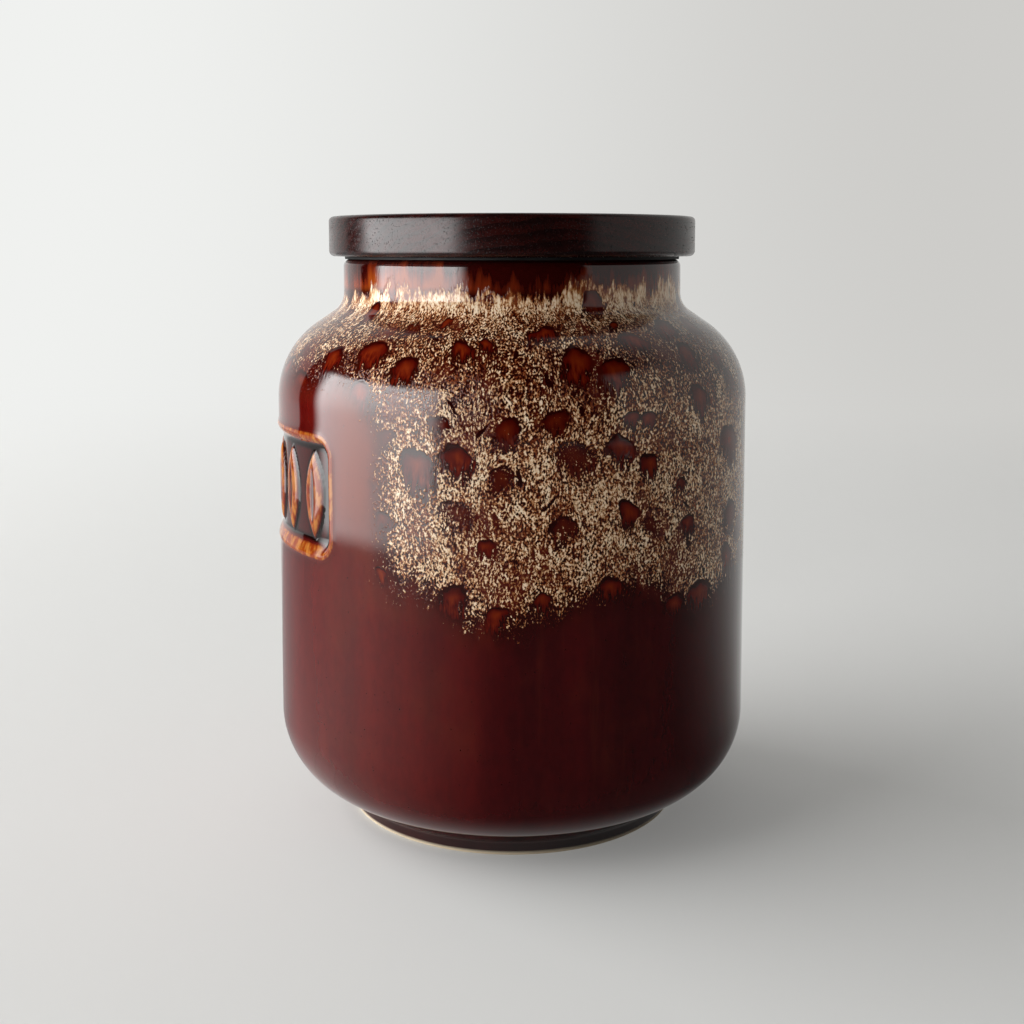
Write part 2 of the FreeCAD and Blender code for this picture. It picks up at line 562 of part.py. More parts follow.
def make_seal_ring():
    """The rubber seal: a flange under the disc, a sleeve round the waist and fins in the mouth."""
    body = new_body("seal_ring")
    sketch = new_sketch(body, "sleeve_outline", "XZ_Plane")
    inner = waist_radius + size["seal_fit"]
    outer = inner + size["seal_sleeve"]
    flange_radius = neck_radius - size["seal_flange_inset"]
    flange = -size["seal_flange"]
    bottom = size["plug_lip_height"] + size["seal_fit"] - size["plug_depth"]
    placed = draw_outline(sketch, [
        line((inner, bottom), (outer, bottom)),
        line((outer, bottom), (outer, flange)),
        line((outer, flange), (flange_radius, flange)),
        line((flange_radius, flange), (flange_radius, 0)),
        line((flange_radius, 0), (inner, 0)),
        line((inner, 0), (inner, bottom)),
    ])
    end, sleeve, under, edge, top, bore = [step[0] for step in placed]
    hold(sketch, "Horizontal", end, under, top)
    hold(sketch, "Vertical", sleeve, edge, bore)
    inner_formula = f"({waist_formula} + sizes.seal_fit)"
    outer_formula = f"({waist_formula} + sizes.seal_fit + sizes.seal_sleeve)"
    bottom_formula = "(sizes.plug_depth - sizes.plug_lip_height - sizes.seal_fit)"
    sketch.addConstraint(Sketcher.Constraint("PointOnObject", top, 1, -1))
    bind_across(sketch, "inner_radius", bore, 1, inner_formula)
    bind_across(sketch, "outer_radius", sleeve, 1, outer_formula)
    bind_across(sketch, "flange_radius", edge, 1, f"{neck_formula} - sizes.seal_flange_inset")
    bind_down(sketch, "flange", under, 1, "sizes.seal_flange")
    bind_down(sketch, "sleeve_end", end, 1, bottom_formula)
    solid = turn(body, "Revolution", "seal_sleeve", sketch)

    # The highest fin starts below the jar's rounded lip, and the lowest ends the sleeve.
    fin_sketch = new_sketch(body, "fin_outline", "XZ_Plane")
    tip_radius = mouth_radius - size["seal_clearance"]
    half_root = size["seal_fin_root"] / 2
    half_tip = size["seal_fin_tip"] / 2
    fin_height = -(size["seal_flange"] + size["lip_round"] + half_root)
    fin_formula = "(sizes.seal_flange + sizes.lip_round + sizes.seal_fin_root / 2)"
    fin = draw_outline(fin_sketch, [
        line((inner, fin_height - half_root), (outer, fin_height - half_root)),
        line((outer, fin_height - half_root), (tip_radius, fin_height - half_tip)),
        line((tip_radius, fin_height - half_tip), (tip_radius, fin_height + half_tip)),
        line((tip_radius, fin_height + half_tip), (outer, fin_height + half_root)),
        line((outer, fin_height + half_root), (inner, fin_height + half_root)),
        line((inner, fin_height + half_root), (inner, fin_height - half_root)),
    ])
    low, low_side, tip, high_side, high, root = [step[0] for step in fin]
    hold(fin_sketch, "Horizontal", low, high)
    hold(fin_sketch, "Vertical", tip, root)
    bind_across(fin_sketch, "inner_radius", low, 1, inner_formula)
    bind_across(fin_sketch, "root_radius", low, 2, outer_formula)
    bind_across(fin_sketch, "upper_root_radius", high, 1, outer_formula)
    bind_across(fin_sketch, "tip_radius", tip, 1, f"{mouth_formula} - sizes.seal_clearance")
    bind_down(fin_sketch, "root_low", low, 1, f"{fin_formula} + sizes.seal_fin_root / 2")
    bind_down(fin_sketch, "root_high", high, 1, f"{fin_formula} - sizes.seal_fin_root / 2")
    bind_down(fin_sketch, "tip_low", tip, 1, f"{fin_formula} + sizes.seal_fin_tip / 2")
    bind_down(fin_sketch, "tip_high", tip, 2, f"{fin_formula} - sizes.seal_fin_tip / 2")
    first_fin = turn(body, "Revolution", "seal_fin", fin_sketch)
    check_change(solid, first_fin, adds=True)
    fins = body.newObject("PartDesign::LinearPattern", "seal_fins")
    fins.Originals = [first_fin]
    fins.Direction = (origin_part(body, "Z_Axis"), [""])
    fins.Reversed = True
    fins.setExpression("Length", f"{bottom_formula} - {fin_formula} - sizes.seal_fin_root / 2")
    fins.setExpression("Occurrences", "sizes.seal_fin_count")
    body.Tip = fins
    doc.recompute()
    check_change(first_fin, fins, adds=True)
    body.setExpression("Placement.Base.z", lid_seat_formula)
    return body


pieces = [make_jar_body(), make_lid_disc(), make_lid_plug(), make_seal_ring()]
doc.recompute()

for thing in doc.Objects:
    if "Invalid" in thing.State or "Error" in thing.State:
        raise ValueError(f"{thing.Name} failed: {thing.State}")
for piece in pieces:
    if piece.Shape.isNull() or not piece.Shape.isValid() or len(piece.Shape.Solids) != 1:
        raise ValueError(f"{piece.Label} is not one valid solid")

os.makedirs("parts", exist_ok=True)
for piece in pieces:
    piece.Shape.exportStep(f"parts/{piece.Label}.step")
    box = piece.Shape.optimalBoundingBox()
    volume = piece.Shape.Volume / 1000
    print(f"{piece.Label}: {volume:.1f} cm3, {box.XLength:.2f} across, z {box.ZMin:.2f} to {box.ZMax:.2f}")
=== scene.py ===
import math

import bpy
import numpy as np
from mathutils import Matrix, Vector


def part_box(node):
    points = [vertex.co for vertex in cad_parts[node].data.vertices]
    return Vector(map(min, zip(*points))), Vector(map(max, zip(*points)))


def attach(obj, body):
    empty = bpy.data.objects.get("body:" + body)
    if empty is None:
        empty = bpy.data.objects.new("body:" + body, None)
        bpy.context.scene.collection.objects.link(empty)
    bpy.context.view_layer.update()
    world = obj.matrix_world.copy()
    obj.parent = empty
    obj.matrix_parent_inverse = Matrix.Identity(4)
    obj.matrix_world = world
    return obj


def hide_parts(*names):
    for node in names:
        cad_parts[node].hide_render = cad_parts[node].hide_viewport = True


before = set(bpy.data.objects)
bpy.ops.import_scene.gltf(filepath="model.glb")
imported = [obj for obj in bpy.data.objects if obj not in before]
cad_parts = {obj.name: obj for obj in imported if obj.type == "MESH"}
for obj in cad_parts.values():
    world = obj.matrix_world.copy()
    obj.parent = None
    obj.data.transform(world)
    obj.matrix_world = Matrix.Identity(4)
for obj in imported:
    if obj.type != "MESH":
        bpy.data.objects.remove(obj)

# Food canister: a glazed stoneware jar, a wooden lid with its plug, and a rubber seal.
# Metres, +Z up, the moulded panel faces -Y.
# Settings of the pieces are in millimetres, those of the studio in metres, and angles in degrees.
mm = 0.001
scene = bpy.context.scene
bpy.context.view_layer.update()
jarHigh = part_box("jar_body")[1]
lidLow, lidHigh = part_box("lid_disc")
plugLow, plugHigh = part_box("lid_plug")
sealLow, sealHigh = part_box("seal_ring")
bodyRadius = jarHigh.x / mm
rimHeight = jarHigh.z / mm
print(f"frame: jar {bodyRadius * 2:.1f} mm across, rim at {rimHeight:.1f} mm")


# Outlines and meshes

def straight(start, end, step):
    # a straight run: the start plus even shares of the way to the end, which is left out
    start = np.array(start, float)
    way = np.array(end, float) - start
    count = max(1, round(np.hypot(*way) / step))
    return start + np.outer(np.arange(count) / count, way)


def bend(centre, radius, fromAngle, toAngle, step):
    # a round run: the centre plus radius times cosine and sine of an evenly growing angle
    count = max(2, round(abs(math.radians(toAngle - fromAngle)) * radius / step))
    angle = np.radians(fromAngle + (toAngle - fromAngle) * np.arange(count) / count)
    return centre + radius * np.stack([np.cos(angle), np.sin(angle)], 1)


def rounded(corners):
    # straight runs from corner to corner, and an arc at a corner that touches both of its runs
    # a corner is x, y, step on the way to it, radius, step round it; each but the first gives an array
    rows = np.array([(*corner, 0, 0, 0)[:5] for corner in corners], float)
    ways = np.diff(rows[:, :2], axis=0)
    ways /= np.hypot(*ways.T)[:, None]
    runs, here = [], rows[0, :2]
    for index, (x, y, step, radius, arcStep) in enumerate(rows[1:]):
        corner, way, onward = np.array([x, y]), ways[index], ways[min(index + 1, len(ways) - 1)]
        turn = math.atan2(way[0] * onward[1] - way[1] * onward[0], way @ onward)
        reach = radius * math.tan(abs(turn) / 2)
        run = straight(here, corner - reach * way, step)
        if radius:
            aside = math.copysign(radius, turn) * np.array([-way[1], way[0]])
            first = math.degrees(math.atan2(-aside[1], -aside[0]))
            arc = bend(corner - reach * way + aside, radius, first, first + math.degrees(turn), arcStep)
            run = np.vstack([run, arc])
        runs.append(run)
        here = corner + reach * onward
    return runs


def smoothRise(value, low, high):
    # 0 below low, 1 above high, and 3t^2 - 2t^3 of the share t in between
    share = np.clip((value - low) / (high - low), 0, 1)
    return share * share * (3 - 2 * share)


def turned(outline, angle, relief=0.0):
    # radius times cosine and sine of the angle, and height, moved by the relief along the normal,
    # which is the run between a point's two neighbours, turned by a quarter
    run = np.gradient(outline, axis=0)
    run /= np.hypot(*run.T)[:, None]
    radius = outline[:, :1] + relief * run[:, 1:]
    height = outline[:, 1:] - relief * run[:, :1]
    return np.stack([radius * np.cos(angle), radius * np.sin(angle), height + 0 * angle], -1)


def evenAngles(count):
    return np.arange(count) / count * 2 * math.pi


def newPiece(name, points, faces):
    # one smooth mesh at the origin, from points in metres
    mesh = bpy.data.meshes.new(name)
    mesh.from_pydata(points.tolist(), [], faces)
    mesh.polygons.foreach_set("use_smooth", np.ones(len(faces), bool))
    mesh.update()
    piece = bpy.data.objects.new(name, mesh)
    scene.collection.objects.link(piece)
    return piece


def gridPiece(name, points, poles=None):
    # points[row, column] in millimetres, closed round the axis
    # the first and last rows close on the poles, or else on each other
    rows, columns = points.shape[:2]
    index = np.arange(rows * columns).reshape(rows, columns)
    if not poles:
        index = np.vstack([index, index[:1]])
    beside = np.roll(index, -1, 1)
    faces = np.stack([index[:-1], beside[:-1], beside[1:], index[1:]], -1).reshape(-1, 4).tolist()
    points = points.reshape(-1, 3)
    if poles:
        first = np.full(columns, rows * columns)
        faces += np.stack([first, beside[0], index[0]], -1).tolist()
        faces += np.stack([index[-1], beside[-1], first + 1], -1).tolist()
        points = np.vstack([points, poles])
    print(f"{name}: {len(points)} points, {len(faces)} faces")
    return newPiece(name, points * mm, faces)


def surfaceValue(piece, name, values, atPoles):
    # a number or vector for each point
    vector = values.ndim == 3
    flat = np.concatenate([values.reshape(-1, *values.shape[2:]), atPoles])
    made = piece.data.attributes.new(name, "FLOAT_VECTOR" if vector else "FLOAT", "POINT")
    made.data.foreach_set("vector" if vector else "value", flat.astype(np.float32).ravel())


# Nodes

class Wire:
    # one output of a node; a sign between wires and numbers adds a Math node
    def __init__(self, tree, socket):
        self.tree = tree
        self.socket = socket

    def __add__(self, other):
        return calc("ADD", self, other)

    def __sub__(self, other):
        return calc("SUBTRACT", self, other)

    def __rsub__(self, other):
        return calc("SUBTRACT", other, self)

    def __mul__(self, other):
        return calc("MULTIPLY", self, other)

    def __truediv__(self, other):
        return calc("DIVIDE", self, other)


def feed(node, inputs):
    # wires are linked, plain values are set
    for key, value in inputs.items():
        if isinstance(value, Wire):
            value.tree.links.new(value.socket, node.inputs[key])
        else:
            node.inputs[key].default_value = value


def put(tree, kind, inputs, out=0, **settings):
    # a new node's chosen output
    node = tree.nodes.new("ShaderNode" + kind)
    for name, value in settings.items():
        setattr(node, name, value)
    feed(node, inputs)
    return Wire(tree, node.outputs[out])


def calc(operation, *values, kind="Math", out=0):
    tree = next(value.tree for value in values if isinstance(value, Wire))
    return put(tree, kind, dict(enumerate(values)), out, operation=operation)


def calcVector(operation, *values, out=0):
    return calc(operation, *values, kind="VectorMath", out=out)


def split(value, kind="SeparateXYZ"):
    # the three parts of a vector or a colour
    node = put(value.tree, kind, {0: value}).socket.node
    return [Wire(value.tree, part) for part in node.outputs]


def span(value, low, high, toLow=0.0, toHigh=1.0, smooth=True):
    # the way from low to high, held at both ends, as a number from toLow to toHigh
    inputs = {"Value": value, "From Min": low, "From Max": high, "To Min": toLow, "To Max": toHigh}
    return put(value.tree, "MapRange", inputs, interpolation_type="SMOOTHSTEP" if smooth else "LINEAR")


def noise(vector, size, detail, rough, out=0):
    # cloud noise with blotches of about half the size
    scaled = calcVector("DIVIDE", vector, size)
    inputs = {"Vector": scaled, "Scale": 1.0, "Detail": detail, "Roughness": rough}
    return put(vector.tree, "TexNoise", inputs, out)


def bentBy(vector, look, reach):
    # the vector moved by a cloud of vectors: noise less a half, times the reach
    cloud = calcVector("SUBTRACT", noise(*look, out=1), (0.5, 0.5, 0.5))
    return calcVector("ADD", vector, calcVector("MULTIPLY", cloud, reach))


def blend(share, first, second):
    return put(share.tree, "Mix", {0: share, 6: first, 7: second}, 2, data_type="RGBA")


def ramp(value, stops):
    # stops are (place, colour) pairs in growing order
    colour = put(value.tree, "ValToRGB", {0: value})
    elements = colour.socket.node.color_ramp.elements
    while len(elements) < len(stops):
        elements.new(1.0)
    for element, (place, shade) in zip(elements, stops):
        element.position = place
        element.color = shade
    return colour


def raised(height, strength, distance):
    # a bumpy normal, from a distance in millimetres
    return put(height.tree, "Bump", {"Height": height, "Strength": strength, "Distance": distance * mm})


def tint(red, green, blue):
    # a colour written in screen values, 0 to 255
    screen = np.array([red, green, blue]) / 255
    linear = np.where(screen <= 0.04045, screen / 12.92, ((screen + 0.055) / 1.055) ** 2.4)
    return (*linear.tolist(), 1.0)


def newMaterial(name):
    material = bpy.data.materials.new(name)
    material.use_nodes = True
    return material, material.node_tree, material.node_tree.nodes["Principled BSDF"]


# Jar

jarShape = dict(
    wall=6, floor=8, floorCurve=24,
    footInset=25, footHeight=4.5, footRing=6, footRecess=3.5, footCove=2, footEdge=0.6,
    baseSlope=31.4, baseCurve=28, shoulderCurve=31.4, shoulderSlope=34,
    neckInset=23.4, neckCurve=7.6, neckHeight=11.8, lipRound=2.4,
    # steps between rows and columns, and how far past the panel they stay fine
    fineStep=0.66, wallStep=2.3, curveStep=1.5, tightStep=0.5, insideStep=6.5, insideCurve=3.4,
    coarseColumn=2.5, columnFade=40, columnSamples=20001, fineMargin=3,
    # hand-made unevenness, calm near the foot and the rim
    waver=0.045, waverWaves=26, waverSeed=11, waverTurns=12, waverRises=9, waverLength=90,
    waverFade=5, waverShare=8, calmFoot=(6, 20), calmRim=10,
    reliefFade=6, clayHeight=1.3, clayFade=0.6,
)
panel = dict(
    width=109, height=37.6, drop=9.4, depth=1.6, corner=6,
    sideBevel=1.9, topBevel=2.6, bottomBevel=4.8,
    bead=0.42, beadWidth=1.1, beadPlace=0.9,
    grains=6, grainWidth=11.5, grainRelief=1.35, grainSwell=1.6, endGap=4.6, tipGap=4.6,
    creaseWidth=1.8, creaseDepth=0.6, creaseTipGap=2.5,
    ridgeGain=3, ridgeRounds=14, slopeGain=2.2,
)
# edge of the pale run; a tongue is its bearing from the panel, its half width, and its rise or fall
runEdge = dict(
    low=82, top=188.5, side=14, above=151, corner=14, soft=6, nowhere=-30,
    tongues=(
        (64, 7, 3), (77, 10, -7), (107, 9, 5), (128, 9, -5), (152, 9, 1), (173, 10, -7), (196, 9, 4),
        (218, 10, -6), (243, 9, 3), (264, 10, -8), (286, 8, 3), (300, 7, -4),
    ),
)
# flat map: the bearing where it is cut, and the low and high end of each strip
bakeSheet = dict(
    split=-45, under=(0.004, 0.05), first=(0.122, 0.556), inside=(0.06, 0.112), second=(0.564, 0.998),
)


def jarPlaces(shape):
    # heights and radii that several shapes share
    # a curve starts its radius times the tangent of half its turn from its corner
    lean, fall = math.radians(shape["baseSlope"]), math.radians(shape["shoulderSlope"])
    baseReach, topReach = math.tan(math.pi / 4 - lean / 2), math.tan(math.pi / 4 - fall / 2)
    foot, neck = bodyRadius - shape["footInset"], bodyRadius - shape["neckInset"]
    baseCorner = shape["footHeight"] + (bodyRadius - foot) * math.tan(lean)
    neckCorner = rimHeight - shape["neckHeight"] - shape["neckCurve"] * topReach
    shoulderCorner = neckCorner - (bodyRadius - neck) * math.tan(fall)
    wallEnd = shoulderCorner - shape["shoulderCurve"] * topReach
    return dict(
        foot=foot, neck=neck, mouth=neck - shape["wall"], inside=bodyRadius - shape["wall"],
        baseCorner=baseCorner, wallStart=baseCorner + shape["baseCurve"] * baseReach,
        wallEnd=wallEnd, panelTop=wallEnd - panel["drop"],
        shoulderCorner=shoulderCorner, neckCorner=neckCorner,
        insideDrop=shape["wall"] * topReach, floor=shape["footRecess"] + shape["floor"],
    )


def jarOutline(shape, at):
    # corners under the jar from its middle, up the outside to the lip, and over it down the inside
    foot, neck, mouth, inside = at["foot"], at["neck"], at["mouth"], at["inside"]
    coarse, curve, tight = shape["wallStep"], shape["curveStep"], shape["tightStep"]
    far, innerCurve, wall = shape["insideStep"], shape["insideCurve"], shape["wall"]
    ring, recess, floor = foot - shape["footRing"], shape["footRecess"], at["floor"]
    edge, lip = (shape["footEdge"], tight / 2), (shape["lipRound"], tight)
    shoulder, hollow = shape["shoulderCurve"], shape["neckCurve"]
    under = [
        (far, recess), (ring, recess, far, *edge), (ring, 0, coarse, *edge), (foot, 0, coarse, *edge),
        (foot, shape["footHeight"], 2 * tight, shape["footCove"], tight),
    ]
    outside = [
        (bodyRadius, at["baseCorner"], coarse, shape["baseCurve"], curve),
        (bodyRadius, at["panelTop"] - panel["height"] - shape["fineMargin"], coarse),
        (bodyRadius, at["panelTop"] + shape["fineMargin"], shape["fineStep"]),
        (bodyRadius, at["shoulderCorner"], curve, shoulder, curve),
        (neck, at["neckCorner"], curve, hollow, curve / 2),
        (neck, rimHeight, curve, *lip),
    ]
    within = [
        (mouth, rimHeight, tight, *lip),
        (mouth, at["neckCorner"] - at["insideDrop"], coarse, hollow + wall, innerCurve),
        (inside, at["shoulderCorner"] - at["insideDrop"], far, shoulder - wall, innerCurve),
        (inside, floor, far, shape["floorCurve"], innerCurve),
        (far / 2, floor, far),
    ]
    runs = rounded(under + outside + within)
    ends = np.cumsum([len(run) for run in runs])
    return np.vstack(runs), ends[len(under) - 2], ends[len(under) + len(outside) - 2]


def crowdedAngles(shape):
    # columns crowd into the panel: even shares of the summed density, one over the wanted step
    halfTurn = math.pi * bodyRadius
    across = np.linspace(-halfTurn, halfTurn, shape["columnSamples"])
    dense = panel["width"] / 2 + shape["fineMargin"]
    coarse = smoothRise(np.abs(across), dense, dense + shape["columnFade"])
    step = shape["fineStep"] + (shape["coarseColumn"] - shape["fineStep"]) * coarse
    counted = np.append(0, np.cumsum(np.diff(across) / step[1:]))
    columns = round(counted[-1])
    places = np.interp(np.arange(columns) / columns * counted[-1], counted, across)
    return places / bodyRadius - math.pi / 2


def aroundFromPanel(angle):
    # turn from the middle of the panel, -pi to pi
    return (angle + math.pi / 2 + math.pi) % (2 * math.pi) - math.pi


def roundedEdge(pastX, pastY, corner):
    # distance from a box with round corners, by how far past the middles of these a point lies
    beyond = np.hypot(np.maximum(pastX, 0), np.maximum(pastY, 0))
    return beyond + np.minimum(np.maximum(pastX, pastY), 0) - corner


def panelRelief(across, up):
    # a rounded box sunk with a bevel of its own on each side, and a bell-shaped bead round its edge
    halfWide, halfHigh, corner = panel["width"] / 2, panel["height"] / 2, panel["corner"]
    edge = roundedEdge(np.abs(across) - halfWide + corner, np.abs(up) - halfHigh + corner, corner)
    sunk = smoothRise(-edge, 0, panel["sideBevel"])
    sunk = np.minimum(sunk, smoothRise(up + halfHigh, 0, panel["bottomBevel"]))
    sunk = np.minimum(sunk, smoothRise(halfHigh - up, 0, panel["topBevel"]))
    bead = panel["bead"] * np.exp(-((edge - panel["beadPlace"]) / panel["beadWidth"]) ** 2)
    return bead - panel["depth"] * sunk


def pointedOval(across, up, halfWide, halfLong):
    # two equal arcs that meet in points: depth inside them as a share of the half width
    radius = (halfLong ** 2 + halfWide ** 2) / (2 * halfWide)
    return np.clip((radius - np.hypot(np.abs(across) + radius - halfWide, up)) / halfWide, 0, 1)


def grainRelief(across, up):
    # a row of domed grains: a quarter-round swell from the edge inwards, less a crease down the middle
    halfWide, halfLong = panel["grainWidth"] / 2, panel["height"] / 2 - panel["tipGap"]
    halfRow = panel["width"] / 2 - panel["endGap"] - halfWide
    pitch = 2 * halfRow / (panel["grains"] - 1)
    nearest = np.clip(np.round((across + halfRow) / pitch), 0, panel["grains"] - 1)
    local = across - (nearest * pitch - halfRow)
    rise = np.minimum(pointedOval(local, up, halfWide, halfLong) * panel["grainSwell"], 1)
    crease = pointedOval(local, up, panel["creaseWidth"] / 2, halfLong - panel["creaseTipGap"])
    swell = np.sqrt(1 - (1 - rise) ** 2)
    return panel["grainRelief"] * swell - panel["creaseDepth"] * smoothRise(crease, 0, 1)


def handWaver(shape, angle, length):
    # a sum of slow seeded waves round and along the wall, weaker the more often they turn
    rng = np.random.default_rng(shape["waverSeed"])
    most = shape["waverRises"]
    waves = 0 * angle + 0 * length
    for _ in range(shape["waverWaves"]):
        turns, rises = rng.integers(1, shape["waverTurns"]), rng.uniform(-most, most)
        phase = rng.uniform(0, 2 * math.pi)
        swing = np.cos(turns * angle + rises * length / shape["waverLength"] + phase)
        waves = waves + swing / (1 + turns / shape["waverFade"])
    return shape["waver"] * waves / math.sqrt(shape["waverWaves"] / shape["waverShare"])


def blurred(relief, rounds):
    # each point becomes the mean of itself and its four neighbours, again and again
    for _ in range(rounds):
        beside = np.roll(relief, 1, 1) + np.roll(relief, -1, 1)
        above = np.vstack([relief[:1], relief[:-1]]) + np.vstack([relief[1:], relief[-1:]])
        relief = (relief + beside + above) / 5
    return relief


def runCover(angle, height):
    # how far inside the pale run: the smooth least of the height above its hanging edge
    # and the distance from the plain swath round the panel
    turn = aroundFromPanel(angle)
    low = runEdge["low"] + 0 * turn
    for bearing, halfWidth, drop in runEdge["tongues"]:
        off = (np.degrees(turn) - bearing + 180) % 360 - 180
        low = low + drop * np.exp(-(off / halfWidth) ** 2)
    corner, soft = runEdge["corner"], runEdge["soft"]
    pastX = np.abs(turn) * bodyRadius - panel["width"] / 2 - runEdge["side"] + corner
    swath = roundedEdge(pastX, height - runEdge["above"] + corner, corner)
    return -soft * np.logaddexp(-(height - low) / soft, -swath / soft)


def unroll(piece, length, angle, outsideFrom, outsideTo, ends):
    # the outside in two half turns, the underside and the inside in a strip each
    # across is the share of a strip's turn, up the share of its length along the outline
    turn = (aroundFromPanel(angle) - math.radians(bakeSheet["split"])) % (2 * math.pi)
    first = turn.min()
    last = first + 2 * math.pi
    after = np.roll(turn, -1)
    sides = np.stack([turn, np.where(after < turn, last, after)])
    second = turn >= math.pi
    halfway = turn[second].min()
    whole = (sides - first) / (2 * math.pi)
    halves = np.where(second, (sides - halfway) / (last - halfway), (sides - first) / (halfway - first))
    row = np.arange(len(length) - 1)
    part = (row >= outsideFrom - 1) + (row >= outsideTo).astype(int)
    marks = np.array([-ends[0], length[outsideFrom - 1], length[outsideTo], length[-1] + ends[1]])
    start, finish = marks[part], marks[part + 1]
    part = part[:, None]
    left, right = np.where(part == 1, halves[:, None, :], whole[:, None, :])
    strips = np.array([bakeSheet[name] for name in ("under", "first", "inside", "second")])
    strip = strips[np.where((part == 1) & second, 3, part)]
    low, tall = strip[..., 0], strip[..., 1] - strip[..., 0]
    ways = ((at - start) / (finish - start) for at in (length[:-1], length[1:]))
    bottom, top = (low + way[:, None] * tall for way in ways)
    quads = np.stack([left, bottom, right, bottom, right, top, left, top], -1)
    middle, level = whole.mean(0), np.ones(len(turn))
    firstPole = np.stack([middle, strips[0, 0] * level, whole[1], bottom[0], whole[0], bottom[0]], -1)
    lastPole = np.stack([whole[0], top[-1], whole[1], top[-1], middle, strips[2, 1] * level], -1)
    layer = piece.data.uv_layers.new(name="OFBake")
    flat = np.concatenate([quads.ravel(), firstPole.ravel(), lastPole.ravel()])
    layer.data.foreach_set("uv", flat.astype(np.float32))


def makeJar(shape):
    # the outline turned about Z, with the panel and its grains pressed in and a slight waver
    at = jarPlaces(shape)
    outline, outsideFrom, outsideTo = jarOutline(shape, at)
    length = np.append(0, np.cumsum(np.hypot(*np.diff(outline, axis=0).T)))
    along, height = length[:, None], outline[:, 1:]
    angle = crowdedAngles(shape)
    row = np.arange(len(outline))[:, None]
    onOutside = ((row >= outsideFrom) & (row < outsideTo)).astype(float)

    across, up = aroundFromPanel(angle) * bodyRadius, height - at["panelTop"] + panel["height"] / 2
    sunk = panelRelief(across, up)
    onWall = smoothRise(height - at["wallStart"], 0, shape["reliefFade"]) * (height < at["wallEnd"])
    relief = onOutside * onWall * (sunk + grainRelief(across, up))
    calm = smoothRise(height, *shape["calmFoot"]) * smoothRise(rimHeight - height, 0, shape["calmRim"])
    points = turned(outline, angle, relief + onOutside * calm * handWaver(shape, angle, along))
    piece = gridPiece("stonewareJar", points, ((0, 0, shape["footRecess"]), (0, 0, at["floor"])))

    flow = np.broadcast_arrays(bodyRadius * np.cos(angle), bodyRadius * np.sin(angle), along)
    surfaceValue(piece, "flow", np.stack(flow, -1), ((0, 0, 0), (0, 0, length[-1])))
    nowhere = runEdge["nowhere"]
    cover = np.where(onOutside > 0, runCover(angle, height), nowhere)
    surfaceValue(piece, "cover", cover, (nowhere, nowhere))
    # ridges stand above their neighbours, and the panel's slopes count as half a ridge
    sunkShare = np.clip(-sunk / panel["depth"], 0, 1) * onOutside * onWall
    ridge = panel["ridgeGain"] * (relief - blurred(relief, panel["ridgeRounds"]))
    ridge = ridge + panel["slopeGain"] * sunkShare * (1 - sunkShare)
    surfaceValue(piece, "ridge", np.clip(ridge, -1, 1), (0, 0))
    surfaceValue(piece, "pooled", np.clip(-relief / panel["depth"], 0, 1), (0, 0))
    # the ring that the jar stands on is wiped bare
    bare = smoothRise(shape["clayHeight"] - height, 0, shape["clayFade"]) * (row < outsideFrom)
    surfaceValue(piece, "bareClay", bare + 0 * angle, (0, 0))
    unroll(piece, length, angle, outsideFrom, outsideTo, (outline[0, 0], outline[-1, 0]))
    return piece


# Glaze

